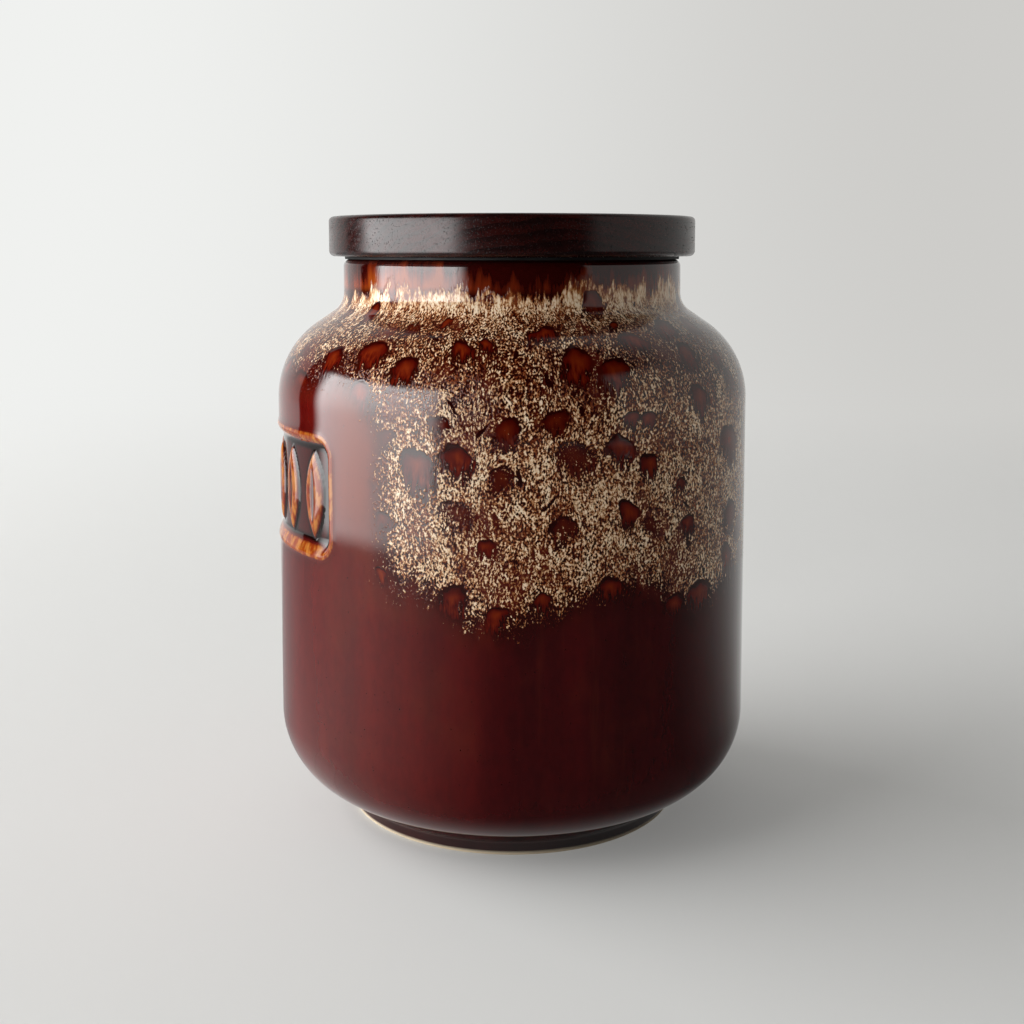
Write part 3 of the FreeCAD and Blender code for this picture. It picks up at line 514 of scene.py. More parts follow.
glaze = dict(
    colours=dict(
        maroon=tint(75, 12, 14), deepMaroon=tint(55, 9, 11), cherry=tint(99, 19, 15),
        deepCherry=tint(79, 14, 12), scarlet=tint(96, 15, 11), deepScarlet=tint(80, 10, 8),
        flank=tint(124, 46, 17), russet=tint(92, 32, 20), umber=tint(43, 6, 3),
        brown=tint(80, 19, 9), sienna=tint(112, 42, 20), rust=tint(116, 50, 23),
        tan=tint(170, 110, 63), cream=tint(229, 191, 149), white=tint(252, 231, 204),
        glow=tint(122, 39, 10), dusk=tint(103, 27, 8), garnet=tint(84, 10, 5),
        brow=tint(36, 3, 2), lip=tint(48, 6, 5), ember=tint(112, 37, 14), amber=tint(146, 64, 17),
        copper=tint(138, 52, 11), gold=tint(178, 110, 46), pool=tint(44, 13, 11),
        black=tint(20, 7, 6), clay=tint(236, 219, 190),
    ),
    # colours along a value: where on it each one stands
    ramps=dict(
        glow=((0, "glow"), (0.36, "dusk"), (0.74, "garnet"), (1, "umber")),
        grains=((0, "rust"), (0.24, "tan"), (0.52, "cream"), (0.92, "white")),
        licks=((0.6, "lip"), (0.82, "ember"), (1, "amber")),
    ),
    # cloud noises: size of the blotches round the wall, twice, and along it, then detail and roughness
    noise=dict(
        streak=((16, 16, 150), 3, 0.5), mottle=((2.2, 2.2, 5), 3, 0.6),
        runs=((5, 5, 70), 3, 0.6), clouds=((26, 26, 34), 4, 0.6), specks=((0.9, 0.9, 0.9), 1, 0.5),
        sway=((15, 15, 22), 1, 0.5), fibre=((0.8, 0.8, 5), 2, 0.6),
        grain=((0.6, 0.6, 0.86), 2, 0.55),
        patch=((13, 13, 18), 2, 0.55), wobble=((8, 8, 8), 2, 0.6), licks=((2.2, 2.2, 16), 3, 0.6),
        tongues=((14, 14, 40), 2, 0.5), metal=((2.4, 2.4, 5), 3, 0.6),
    ),
    # cloud noises that swing to both sides of 0: the same, then the gain
    swings=dict(
        fray=((5, 5, 11), 3, 0.6, 14), flame=((7, 7, 40), 2, 0.5, 18),
        surge=((24, 24, 60), 1, 0.5, 12), flicker=((1.5, 1.5, 12), 3, 0.65, 7),
        tail=((1.1, 1.1, 5), 2, 0.6, 2.6), shade=((1.2, 1.2, 2), 2, 0.5, 1.8),
        clump=((1.5, 1.5, 3.2), 2, 0.55, 0.8), tinge=((7, 7, 11), 2, 0.5, 1.3),
        broken=((3, 3, 3), 3, 0.6, 0.34),
    ),
    # shares: the value where one starts and where it is full, then its least and most, if not 0 and 1
    shares=dict(
        tone=(0.3, 0.74), nearPanel=(1.55, 0.75), lively=(96, 124), flank=(0.58, 0.8),
        runs=(0.56, 0.8, 0, 0.34), clouds=(0.5, 0.72, 0, 0.34), specks=(0.74, 0.8),
        paintedFootShade=(9, 3, 0, 0.7), onNeck=(178, 186), grainGain=(0, 1, 3.8, 1.9),
        fringe=(-5, 16), flames=(-4.5, 6), onRun=(2, 7), pale=(-0.2, 0.24),
        tail=(0.3, -0.8), soft=(0.4, -0.6, 0.08, 0.6), nick=(1.2, 0.6),
        brow=(0.35, 0.95), browUp=(-0.05, 0.6), reach=(-1.5, 1.5, 1.25, 0.88),
        force=(0.05, 0.5, 0.35, 1), ground=(0.32, 0.48), hem=(10, -2), lowHem=(158, 144),
        under=(-5, 13, 0, 0.9), aboveRun=(184, 187), nearRun=(-28, -20),
        lickFade=(-7, 2, -0.3, 0.08), pool=(0.45, 1, 0, 0.65), hollow=(-0.08, -0.6),
        gold=(0.42, 0.62), ridge=(0.08, 0.66),
    ),
    weights=dict(
        streak=0.65, mottle=0.35, nearPanelStreak=0.5, flank=0.8, fibre=0.65,
        patch=0.7, depth=1.35, spot=1.5, nick=0.9, leastFray=0.1, spotEdge=0.95,
        licks=0.5, tongues=0.7, nearPanelLicks=0.3,
        paleRough=0.06, clayRough=0.7, paleSkin=0.8, spotSkin=0.4,
    ),
    # heights on the wall, and how much more or less the grains cover there
    bands=(
        (75, 0), (95, 0.12), (125, 0.16), (142, 0.14), (153, 0.02), (163, -0.06), (171, -0.1),
        (174, -0.06), (177.5, 0.2), (180, 0.4), (184, 0.5), (189, 0.4),
    ),
    bandTop=210, sway=(5, 5, 2),
    roughness=0.05, ior=1.5, bump=0.6, bumpDistance=0.09,
    # spots: one to a cell, small to large by chance
    spots=dict(cell=17, random=0.92, least=0, small=1.9, large=6.6, wobble=5.6, wide=(0.8, 1.2), lean=1),
    nicks=dict(cell=10, random=1, least=0.66, small=0.1, large=3, wobble=6, wide=(0.3, 0.6), lean=2.4),
    cellTall=1.1, cellFill=0.97, seamFill=0.7, leastSpot=0.05, forceTurns=7.3,
)


def cloudOf(vector, name):
    return noise(vector, *glaze["noise"][name])


def swingOf(vector, name):
    # noise less a half, times its gain
    *look, gain = glaze["swings"][name]
    return (noise(vector, *look) - 0.5) * gain


def shareOf(value, name):
    return span(value, *glaze["shares"][name])


def rampOf(value, name):
    return ramp(value, [(place, glaze["colours"][colour]) for place, colour in glaze["ramps"][name]])


def plainBody(flow, height, turn):
    # slow streaks of maroon with a fine mottle, a few russet runs and clouds, dark specks, and painted
    # shade towards the foot
    paint, weight = glaze["colours"], glaze["weights"]
    streak = cloudOf(flow, "streak")
    tone = shareOf(streak * weight["streak"] + cloudOf(flow, "mottle") * weight["mottle"], "tone")
    body = blend(tone, paint["deepMaroon"], paint["maroon"])
    # round the panel the maroon turns lighter and redder, and beside it, up to the run, orange
    nearPanel = shareOf(turn, "nearPanel") + (streak - 0.5) * weight["nearPanelStreak"]
    lively = shareOf(height, "lively")
    low = blend(lively, paint["deepCherry"], paint["deepScarlet"])
    high = blend(lively, paint["cherry"], paint["scarlet"])
    body = blend(nearPanel, body, blend(tone, low, high))
    flank = shareOf(turn, "flank") * nearPanel * lively
    body = blend(flank * weight["flank"], body, paint["flank"])
    for name, colour in (("runs", "russet"), ("clouds", "russet"), ("specks", "umber")):
        body = blend(shareOf(cloudOf(flow, name), name), body, paint[colour])
    # painted shade: the glaze goes towards black near the foot, under the overhanging belly
    return blend(shareOf(height, "paintedFootShade"), body, paint["black"]), nearPanel


def spotFields(flow, x, y, look):
    # one spot to a cell of the unrolled wall, each as wide as chance and its neighbours allow
    # the field grows from 0 in a spot's middle to 1 at its edge; a spot leans and hangs down
    tree, cell, tall = flow.tree, look["cell"], look["cell"] * glaze["cellTall"]
    around = calc("ARCTAN2", x * -1.0, y) * bodyRadius
    unrolled = put(tree, "CombineXYZ", {0: around, 1: split(flow)[2]})
    bent = bentBy(unrolled, (flow, *glaze["noise"]["wobble"]), (look["wobble"],) * 3)
    scaled = calcVector("DIVIDE", bent, (cell, tall, 1.0))
    inputs = {"Vector": scaled, "Scale": 1.0, "Randomness": look["random"]}
    centre = put(tree, "TexVoronoi", inputs, "Position", voronoi_dimensions="2D")
    room = put(tree, "TexVoronoi", inputs, "Radius", voronoi_dimensions="2D", feature="N_SPHERE_RADIUS")
    chance = Wire(tree, centre.socket.node.outputs["Color"])
    sizeChance, leanChance, wideChance = split(chance, "SeparateColor")
    away = calcVector("MULTIPLY", calcVector("SUBTRACT", scaled, centre), (cell, tall, 0.0))
    aside, up = split(away)[:2]
    # no spot crosses the line where the unrolled wall meets itself
    free = (math.pi * bodyRadius - calc("ABSOLUTE", split(centre)[0]) * cell) * glaze["seamFill"]
    wanted = span(sizeChance, look["least"], 1.0, look["small"], look["large"], smooth=False)
    radius = calc("MINIMUM", calc("MINIMUM", wanted, room * (cell * glaze["cellFill"])), free)
    radius = calc("MAXIMUM", radius, glaze["leastSpot"])
    lean = (leanChance - 0.5) * look["lean"] * up
    sideways = (aside + lean) / span(wideChance, 0.0, 1.0, *look["wide"], smooth=False)
    rise = up / shareOf(up, "reach")
    field = calc("SQRT", sideways * sideways + rise * rise)
    force = shareOf(calc("FRACT", sizeChance * glaze["forceTurns"]), "force")
    return field / radius, up / radius, force


def runSpots(flow, run, cover, x, y):
    # spots break the run, with a crisp dark brow above and a frayed tail below, and nicks cut it
    weight = glaze["weights"]
    spot, spotUp, force = spotFields(flow, x, y, glaze["spots"])
    frayed = swingOf(run, "tail") * (shareOf(spotUp, "tail") + weight["leastFray"])
    edge = spot + frayed
    soft = shareOf(spotUp, "soft")
    onRun = shareOf(cover, "onRun")
    spotShare = span(edge, soft + weight["spotEdge"], weight["spotEdge"] - soft) * force * onRun
    brow = shareOf(spot, "brow") * shareOf(spotUp, "browUp")
    spotColour = blend(brow, rampOf(edge, "glow"), glaze["colours"]["brow"])
    nick, _, nickForce = spotFields(flow, x, y, glaze["nicks"])
    nickShare = shareOf(nick + frayed, "nick") * nickForce * onRun
    return spotShare, spotColour, nickShare


def runDepth(flow, run, cover, height):
    # how thick the run lies: less at its frayed lower edge, and in flames on the neck
    inside = cover + swingOf(run, "fray")
    flame = swingOf(flow, "flame") + swingOf(flow, "surge") + swingOf(flow, "flicker")
    underNeck = flame + runEdge["top"] - height
    depth = calc("MINIMUM", shareOf(inside, "fringe"), shareOf(underNeck, "flames"))
    return inside, underNeck, depth


def runAmount(flow, run, height, depth, patch):
    # how much the grains cover: noise in three sizes, fibres on the neck, and a share by height
    weight, top = glaze["weights"], glaze["bandTop"]
    onNeck = shareOf(height, "onNeck")
    grain = {0: onNeck * weight["fibre"], 2: cloudOf(run, "grain"), 3: cloudOf(flow, "fibre")}
    amount = (put(flow.tree, "Mix", grain) - 0.5) * shareOf(onNeck, "grainGain")
    amount = amount + swingOf(run, "clump") + (patch - 0.5) * weight["patch"]
    band = ramp(height / top, [(at / top, (share + 0.5,) * 3 + (1.0,)) for at, share in glaze["bands"]])
    return amount + (band - 0.5) * depth + (depth - 1.0) * weight["depth"]


def glazeMaterial():
    material, tree, shader = newMaterial("stonewareGlaze")
    paint, weight = glaze["colours"], glaze["weights"]
    flow = put(tree, "Attribute", {}, "Vector", attribute_name="flow")
    values = ("cover", "ridge", "pooled", "bareClay")
    cover, ridge, pooled, bare = (put(tree, "Attribute", {}, "Fac", attribute_name=name) for name in values)
    x, y, z = split(put(tree, "TexCoord", {}, "Object"))
    height = z / mm
    body, nearPanel = plainBody(flow, height, calc("ABSOLUTE", calc("ARCTAN2", x, y * -1.0)))

    # the run sways as it flowed, and its grains lie on umber and brown, or sienna at the hem
    run = bentBy(flow, (flow, *glaze["noise"]["sway"]), glaze["sway"])
    patch = cloudOf(run, "patch")
    inside, underNeck, depth = runDepth(flow, run, cover, height)
    spotShare, spotColour, nickShare = runSpots(flow, run, cover, x, y)
    amount = runAmount(flow, run, height, depth, patch)
    amount = amount - spotShare * weight["spot"] - nickShare * weight["nick"]
    pale = shareOf(amount, "pale")
    ground = blend(shareOf(patch, "ground"), paint["brown"], paint["umber"])
    hem = shareOf(cover, "hem") * shareOf(height, "lowHem") * nearPanel
    under = blend(shareOf(inside, "under"), body, blend(hem, ground, paint["sienna"]))
    under = blend(nickShare, under, paint["brow"])
    under = blend(spotShare, under, spotColour)
    shaded = amount + swingOf(run, "shade") + swingOf(run, "tinge")
    colour = blend(pale, under, rampOf(shaded, "grains"))

    # neck above the run: amber licks over the flames, going dark to the lip
    above = shareOf(height, "aboveRun") * shareOf(cover, "nearRun") * (1.0 - pale)
    licks = cloudOf(flow, "licks") * weight["licks"] + cloudOf(flow, "tongues") * weight["tongues"]
    licks = licks + nearPanel * weight["nearPanelLicks"] + shareOf(underNeck, "lickFade")
    colour = blend(above, colour, rampOf(licks, "licks"))

    # the glaze pools almost black in hollows and thins to copper and gold over ridges
    colour = blend(shareOf(pooled, "pool"), colour, paint["pool"])
    colour = blend(shareOf(ridge, "hollow"), colour, paint["black"])
    metal = blend(shareOf(cloudOf(flow, "metal"), "gold"), paint["copper"], paint["gold"])
    colour = blend(shareOf(ridge + swingOf(flow, "broken"), "ridge"), colour, metal)
    colour = blend(bare, colour, paint["clay"])

    skin = pale * weight["paleSkin"] - spotShare * weight["spotSkin"]
    feed(shader, {
        "Base Color": colour, "IOR": glaze["ior"],
        "Normal": raised(skin, glaze["bump"], glaze["bumpDistance"]),
        "Roughness": pale * weight["paleRough"] + bare * weight["clayRough"] + glaze["roughness"],
    })
    return material


jar = makeJar(jarShape)
jar.data.materials.append(glazeMaterial())
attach(jar, "jar")
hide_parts("jar_body")
print("jar: glazed")


# Wood

wood = dict(
    # cloud noises: size of the blotches along the grain and twice across, then detail and roughness
    bow=((160, 30, 30), 2, 0.5), fibre=((30, 0.8, 0.8), 3, 0.65), cloud=((60, 16, 16), 3, 0.55),
    pores=((7, 0.55, 0.55), 1, 0.5), lines=((0.9, 1, 0.9), 3, 0.7), worn=((22, 22, 9), 3, 0.6),
    bowReach=(0, 7, 7), heart=(0, 30, 120), year=3.4,
    late=(0.25, 0.92), newYear=(1, 0.93), poreEdge=(0.62, 0.7), toneRange=(0.28, 0.72),
    wornRange=(0.3, 0.7),
    fibreTone=0.55, cloudTone=0.55, lateTone=0.16, poreTone=0.22, fibreHeight=0.4,
    poreRough=0.2, lineRough=0.16, bumpDistance=0.06,
)


def woodGroup():
    # solid timber: yearly rings round a far heart, fibres and pores along the grain, which runs along X,
    # fine lines from the lathe, and worn places
    group = bpy.data.node_groups.new("turnedWood", "ShaderNodeTree")
    for name, kind in (("Place", "Vector"), ("Dark", "Color"), ("Light", "Color")):
        group.interface.new_socket(name, in_out="INPUT", socket_type="NodeSocket" + kind)
    for name in ("Colour", "Pores", "Height", "Lines", "Worn"):
        kind = "Color" if name == "Colour" else "Float"
        group.interface.new_socket(name, in_out="OUTPUT", socket_type="NodeSocket" + kind)
    entry, result = group.nodes.new("NodeGroupInput"), group.nodes.new("NodeGroupOutput")
    place, dark, light = (Wire(group, entry.outputs[name]) for name in ("Place", "Dark", "Light"))
    bowed = bentBy(place, (place, *wood["bow"]), wood["bowReach"])
    fromHeart = calcVector("MULTIPLY", calcVector("SUBTRACT", bowed, wood["heart"]), (0.0, 1.0, 1.0))
    year = calc("FRACT", calcVector("LENGTH", fromHeart, out=1) / wood["year"])
    late = span(year, *wood["late"]) * span(year, *wood["newYear"])
    fibre, cloud = noise(place, *wood["fibre"]), noise(place, *wood["cloud"])
    pores = span(noise(place, *wood["pores"]), *wood["poreEdge"])
    tone = fibre * wood["fibreTone"] + cloud * wood["cloudTone"] - late * wood["lateTone"]
    tone = tone - pores * wood["poreTone"]
    outward = calcVector("LENGTH", calcVector("MULTIPLY", place, (1.0, 1.0, 0.0)), out=1)
    lathe = put(group, "CombineXYZ", {0: outward, 2: split(place)[2]})
    feed(result, {
        "Colour": blend(span(tone, *wood["toneRange"]), dark, light), "Pores": pores,
        "Height": fibre * wood["fibreHeight"] - pores,
        "Lines": noise(lathe, *wood["lines"]), "Worn": noise(place, *wood["worn"]),
    })
    return group


def woodMaterial(name, group, look):
    material, tree, shader = newMaterial(name)
    turn = (0, 0, math.radians(look["grainTurn"]))
    place = put(tree, "TexCoord", {}, "Object")
    mapped = put(tree, "Mapping", {"Vector": place, "Rotation": turn, "Scale": (1 / mm, 1 / mm, 1 / mm)})
    node = tree.nodes.new("ShaderNodeGroup")
    node.node_tree = group
    feed(node, {"Place": mapped, "Dark": look["dark"], "Light": look["light"]})
    colour, pores, height, lines, worn = (Wire(tree, made) for made in node.outputs)
    sheen = span(worn, *wood["wornRange"], look["gloss"], look["matt"], smooth=False)
    relief = height + lines * look["lines"]
    feed(shader, {
        "Base Color": colour, "Specular IOR Level": look["shine"],
        "Normal": raised(relief, look["bump"], wood["bumpDistance"]),
        "Roughness": sheen + pores * wood["poreRough"] + (lines - 0.5) * wood["lineRough"],
    })
    return material


# Lid

lidLook = dict(
    topRound=1.5, lowerRound=2, columns=224, step=1.1, wideStep=3.2,
    ripple=0.035, rippleLength=2.9, rippleFade=3,
    dark=tint(20, 6, 6), light=tint(52, 15, 12), grainTurn=24,
    gloss=0.17, matt=0.27, bump=0.26, lines=1.2, shine=0.34,
)
plugLook = dict(
    waistGap=2.2, lip=2.5, edge=0.8, softEdge=0.25, columns=160,
    step=0.8, wideStep=4, softStep=0.13,
    dark=tint(32, 14, 10), light=tint(84, 44, 30), grainTurn=108,
    gloss=0.42, matt=0.55, bump=0.6, lines=0.6, shine=0.4,
)


def makeLid(look):
    # underside, lower round, edge, top round and top, turned about Z
    # the top keeps faint rings from the turning tool: a cosine of the radius
    radius, low, high = lidHigh.x / mm, lidLow.z / mm, lidHigh.z / mm
    over, step, wide = look["topRound"], look["step"], look["wideStep"]
    runs = rounded([
        (wide, low), (radius, low, wide, look["lowerRound"], step / 3),
        (radius, high, step, over, step / 3), (wide / 3, high, step),
    ])
    outline = np.vstack(runs)
    onTop = np.arange(len(outline))[:, None] >= len(outline) - len(runs[-1])
    faded = onTop * smoothRise(radius - over - outline[:, :1], 0, look["rippleFade"])
    ring = np.cos(2 * math.pi * outline[:, :1] / look["rippleLength"]) - 1
    points = turned(outline, evenAngles(look["columns"]), look["ripple"] * faded * ring)
    return gridPiece("lidDisc", points, ((0, 0, low), (0, 0, high)))


def makePlug(look):
    # bottom, keeping lip, waist for the seal, and the face glued under the disc, turned about Z
    radius, low, high = plugHigh.x / mm, plugLow.z / mm, plugHigh.z / mm
    step, wide, soft = look["step"], look["wideStep"], (look["softEdge"], look["softStep"])
    waist, lipTop = radius - look["waistGap"], low + look["lip"]
    outline = np.vstack(rounded([
        (wide, low), (radius, low, wide, look["edge"], step / 3), (radius, lipTop, step, *soft),
        (waist, lipTop, step, *soft), (waist, high, step), (wide, high, wide),
    ]))
    points = turned(outline, evenAngles(look["columns"]))
    return gridPiece("lidPlug", points, ((0, 0, low), (0, 0, high)))


woodGrain = woodGroup()
lid = makeLid(lidLook)
lid.data.materials.append(woodMaterial("stainedWood", woodGrain, lidLook))
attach(lid, "lid")
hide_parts("lid_disc")
plug = makePlug(plugLook)
plug.data.materials.append(woodMaterial("plugWood", woodGrain, plugLook))
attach(plug, "lid")
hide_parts("lid_plug")
print("lid: turned and stained")


# Seal

sealLook = dict(
    flange=1, sleeve=1.6, fit=0.1, clear=0.3, fins=3, finRoot=1.4, finTip=0.7,
    lipRound=2.4, columns=192, step=0.35, wideStep=0.7, round=0.2, roundStep=0.1,
    colour=tint(14, 13, 13), dusty=tint(26, 25, 25), dustRange=(0.45, 0.75),
    gloss=0.5, matt=0.7, wornRange=(0.3, 0.7), shine=0.2,
    bloom=((9, 9, 3), 4, 0.6), skin=((0.5, 0.5, 0.5), 2, 0.5), bump=0.25, bumpDistance=0.05,
)


def makeSeal(look, mouth):
    # a closed outline turned about Z: up the outside with its fins, round the flange, down the bore
    radius, low, high = sealHigh.x / mm, sealLow.z / mm, sealHigh.z / mm
    inner = plugHigh.x / mm - plugLook["waistGap"] + look["fit"]
    halfRoot, halfTip = look["finRoot"] / 2, look["finTip"] / 2
    root, tip = inner + look["sleeve"], mouth - look["clear"] - halfTip
    step, wide, small = look["step"], look["wideStep"], (look["round"], look["roundStep"])
    under = high - look["flange"]
    middles = np.linspace(low + halfRoot, under - look["lipRound"] - halfRoot, look["fins"])
    nextStart = np.append(middles[1:] - halfRoot, under)
    runs = [straight((inner, low), (root, low), step)]
    for middle, above in zip(middles, nextStart):
        # a fin from its lower root out to a round tip and back
        runs += [
            straight((root, middle - halfRoot), (tip, middle - halfTip), step),
            bend((tip, middle), halfTip, -90, 90, step / 2),
            straight((tip, middle + halfTip), (root, middle + halfRoot), step),
            straight((root, middle + halfRoot), (root, above), step),
        ]
    runs += rounded([
        (root, under), (radius, under, wide, *small), (radius, high, step, *small),
        (inner, high, wide), (inner, low, wide),
    ])
    return gridPiece("sealRing", turned(np.vstack(runs), evenAngles(look["columns"])))


def rubberMaterial(look):
    material, tree, shader = newMaterial("blackRubber")
    place = calcVector("DIVIDE", put(tree, "TexCoord", {}, "Object"), (mm, mm, mm))
    bloom, skin = noise(place, *look["bloom"]), noise(place, *look["skin"])
    feed(shader, {
        "Base Color": blend(span(bloom, *look["dustRange"]), look["colour"], look["dusty"]),
        "Roughness": span(bloom, *look["wornRange"], look["gloss"], look["matt"]),
        "Specular IOR Level": look["shine"], "Normal": raised(skin, look["bump"], look["bumpDistance"]),
    })
    return material


seal = makeSeal(sealLook, jarPlaces(jarShape)["mouth"])
seal.data.materials.append(rubberMaterial(sealLook))
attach(seal, "seal")
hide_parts("seal_ring")
print("seal: moulded")


# Studio

studio = dict(
    bearing=82, distance=0.485, eye=0.1993, tilt=-5.41,
    lens=47.345, sensor=36, lift=-0.1339, nearest=0.01,
    # the sweep
    back=1.15, front=4, side=3.5, sweep=0.6, wallTop=3, step=0.1, columns=41,
    floor=tint(229, 229, 227), left=tint(240, 241, 239), right=tint(205, 204, 201),
    fill=0.2, floorRough=0.9,
    # where the floor fades to a plain glowing colour: behind the canister, far away, and towards the lamp;
    # near the canister a share of it stays, a painted glow that lifts the floor and its shadow
    fadeBehind=(0.3, 1.25, 0.22, 1), fadeFar=(0.65, 1.5), fadeLamp=(-0.22, -0.65),
    # how that colour goes from left to right, painted lighter on the lamp's side, and where it is the
    # right-hand one
    paintedLightLeftToRight=(-0.75, 0.75), inFront=(0.8, 0), farInFront=(1.5, 3.5), lampEdge=(-1, -2.8),
)
# soft light, at a bearing from the camera
lamp = dict(bearing=-88, distance=1.9, middle=1.2, width=3.3, height=2.4, brightness=4.55)
# painted reflections: the window card glows like a window seen only in gloss, and the flags are dark
# sheets, some faintly glowing, that put painted shade into the reflections
# cards that only gloss sees: bearings from the camera, a profile of (distance, height),
# how much fades at the left, right, first and last rim, and how bright the first and last are
cards = dict(
    windowCard=dict(
        bearings=(-93, -24.5), profile=((0.25, 0.061), (0.25, 0.15), (0.25, 0.25)),
        fade=(0.12, 0.14, 0.06, 0.1), glow=(4.2, 9.1),
    ),
    sideFlag=dict(
        bearings=(-150, -62), profile=((0.0592, 0.003), (0.12, 0.003), (1, 0.003)),
        fade=(0.1, 0.55, 0.04, 0.05), glow=(0.42, 0.42),
    ),
    floorFlag=dict(
        bearings=(-77, 135),
        profile=((0.0592, 0.002), (0.085, 0.002), (0.12, 0.002), (1, 0.002)),
        fade=(0.36, 0.34, 0.04, 0.05), glow=(0.045, 0.045),
    ),
    roomFlag=dict(
        bearings=(-119, 50),
        profile=((1, 0.003), (0.94, 0.34), (0.77, 0.64), (0.5, 0.87), (0.17, 0.98), (-0.26, 0.97)),
        fade=(0.01, 0.02, 0, 0.1),
    ),
    highFlag=dict(
        bearings=(46, 110), profile=((0.76, 0.64), (0.62, 0.78), (0.42, 0.91), (0.22, 0.98)),
        fade=(0, 0.6, 0.2, 0.15),
    ),
)
cardGrid = dict(step=0.04, columns=33, glow=(0.08, 0.8))
black = (0, 0, 0, 1)
upwards = np.array([0, 0, 1.0])


def bearingVector(degrees):
    # level direction at a bearing from the camera, to the right: sine and minus cosine of the turn
    turn = math.radians(studio["bearing"] + degrees)
    return np.array([math.sin(turn), -math.cos(turn), 0.0])


def makeCamera():
    camera = bpy.data.objects.new("camera", bpy.data.cameras.new("camera"))
    camera.location = bearingVector(0) * studio["distance"] + upwards * studio["eye"]
    camera.rotation_euler = (math.radians(90 + studio["tilt"]), 0, math.radians(studio["bearing"]))
    camera.data.lens = studio["lens"]
    camera.data.sensor_width = studio["sensor"]
    camera.data.shift_y = studio["lift"]
    camera.data.clip_start = studio["nearest"]
    scene.collection.objects.link(camera)
    scene.camera = camera


def stagePiece(name, points, material):
    # an open sheet of points[row, column] in metres, with a map from 0 to 1
    rows, columns = points.shape[:2]
    index = np.arange(rows * columns).reshape(rows, columns)
    faces = np.stack([index[:-1, :-1], index[:-1, 1:], index[1:, 1:], index[1:, :-1]], -1).reshape(-1, 4)
    piece = newPiece(name, points.reshape(-1, 3), faces.tolist())
    share = np.stack([index % columns / (columns - 1), index // columns / (rows - 1)], -1).reshape(-1, 2)
    layer = piece.data.uv_layers.new(name="sheet")
    layer.data.foreach_set("uv", share[faces.ravel()].astype(np.float32).ravel())
    piece.data.materials.append(material)
    return piece


def seenDirectly(tree):
    # 1 for the eye, and for what shows in gloss or through glass
    path = tree.nodes.new("ShaderNodeLightPath")
    kinds = ("Camera", "Glossy", "Transmission")
    camera, glossy, through = (Wire(tree, path.outputs[f"Is {kind} Ray"]) for kind in kinds)
    return calc("MAXIMUM", calc("MAXIMUM", camera, glossy), through)


def sweepMaterial():
    # far away the eye sees a plain pale colour that glows, painted lighter on the lamp's side; near the
    # canister the floor takes light and shadow, lifted by a share of that painted glow
    material, tree, shader = newMaterial("paleSweep")
    place = put(tree, "TexCoord", {}, "Object")
    sideways = calcVector("DOT_PRODUCT", place, tuple(bearingVector(90)), out=1)
    behind = calcVector("DOT_PRODUCT", place, tuple(-bearingVector(0)), out=1)
    away = calcVector("LENGTH", place, out=1)
    far = calc("MAXIMUM", span(behind, *studio["fadeBehind"]), span(away, *studio["fadeFar"]))
    # painted glow: the share of the plain colour that the eye and gloss see in place of the lit floor
    paintedGlow = calc("MAXIMUM", far, span(sideways, *studio["fadeLamp"])) * seenDirectly(tree)
    inFront = span(behind, *studio["inFront"]) * span(away, *studio["farInFront"])
    atEdge = calc("MAXIMUM", inFront, span(sideways, *studio["lampEdge"]))
    # painted light: the plain colour is lighter towards the lamp on the left
    colour = blend(span(sideways, *studio["paintedLightLeftToRight"]), studio["left"], studio["right"])
    colour = blend(atEdge, colour, studio["right"])
    feed(shader, {
        "Base Color": blend(paintedGlow, studio["floor"], black), "Emission Color": blend(paintedGlow, black, colour),
        "Emission Strength": 1.0, "Roughness": studio["floorRough"], "Specular IOR Level": 0.0,
    })
    return material


def makeSweep():
    # a level floor that bends up into a wall behind the canister, carried straight across the view
    back, step = studio["back"] + studio["sweep"], studio["step"]
    profile = np.vstack(rounded([
        (studio["front"], 0), (-back, 0, step, studio["sweep"], step / 2), (-back, studio["wallTop"], step),
    ]))
    across = np.linspace(-studio["side"], studio["side"], studio["columns"])
    points = profile[:, None, :1] * bearingVector(0) + across[:, None] * bearingVector(90)
    stagePiece("studioSweep", points + profile[:, None, 1:] * upwards, sweepMaterial())


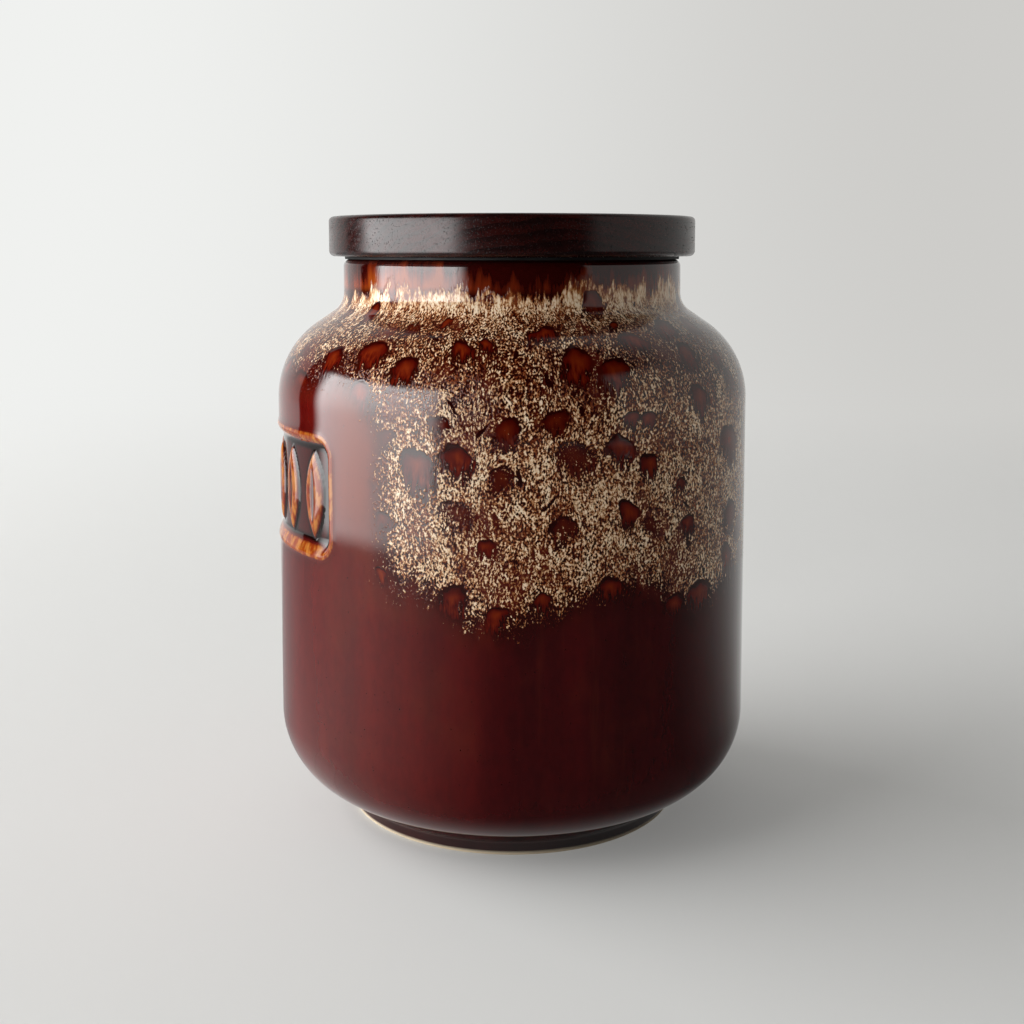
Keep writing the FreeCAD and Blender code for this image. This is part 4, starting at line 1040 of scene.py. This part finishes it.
def cardMaterial(name, look):
    # the rims fade, and the card glows or stays dark
    material, tree, shader = newMaterial(name)
    across, up = split(put(tree, "TexCoord", {}, "UV"))[:2]
    left, right, first, last = look["fade"]
    rims = ((across, 0, left), (across, 1, -right), (up, 0, first), (up, 1, -last))
    fades = [span(value, start, start + width) for value, start, width in rims if width]
    clear = fades[0]
    for fade in fades[1:]:
        clear = clear * fade
    feed(shader, {"Alpha": clear, "Base Color": black, "Specular IOR Level": 0.0})
    if "glow" in look:
        low, high = look["glow"]
        shade = span(up, *cardGrid["glow"], low / high, 1.0)
        feed(shader, {"Emission Color": shade, "Emission Strength": high})
    return material


def makeCard(name, look):
    # a profile of straight runs over a range of bearings
    corners = look["profile"]
    runs = rounded([(*corner, cardGrid["step"]) for corner in corners])
    strip = np.vstack(runs + [corners[-1]])
    bearings = np.linspace(*look["bearings"], cardGrid["columns"])
    level = np.stack([bearingVector(bearing) for bearing in bearings])
    points = strip[:, None, :1] * level + strip[:, None, 1:] * upwards
    piece = stagePiece(name, points, cardMaterial(name, look))
    piece.visible_camera = piece.visible_diffuse = piece.visible_shadow = False


def makeLamp():
    # a flat lamp's watts: brightness times pi times its area
    light = bpy.data.lights.new("leftSoftbox", "AREA")
    light.shape = "RECTANGLE"
    light.size, light.size_y = lamp["width"], lamp["height"]
    light.energy = lamp["brightness"] * math.pi * lamp["width"] * lamp["height"]
    holder = bpy.data.objects.new("leftSoftbox", light)
    holder.location = bearingVector(lamp["bearing"]) * lamp["distance"] + upwards * lamp["middle"]
    holder.rotation_euler = (math.radians(90), 0, math.radians(studio["bearing"] + lamp["bearing"]))
    holder.visible_camera = holder.visible_glossy = False
    scene.collection.objects.link(holder)


def makeWorld():
    # a pale room for the eye and in gloss, and a faint even fill
    world = bpy.data.worlds.new("studio")
    scene.world = world
    world.use_nodes = True
    strength = span(seenDirectly(world.node_tree), 0.0, 1.0, studio["fill"], 1.0, smooth=False)
    feed(world.node_tree.nodes["Background"], {"Color": studio["right"], "Strength": strength})


makeCamera()
makeSweep()
for cardName, cardLook in cards.items():
    makeCard(cardName, cardLook)
makeLamp()
makeWorld()
scene.view_settings.view_transform = "Standard"
print("studio: set")
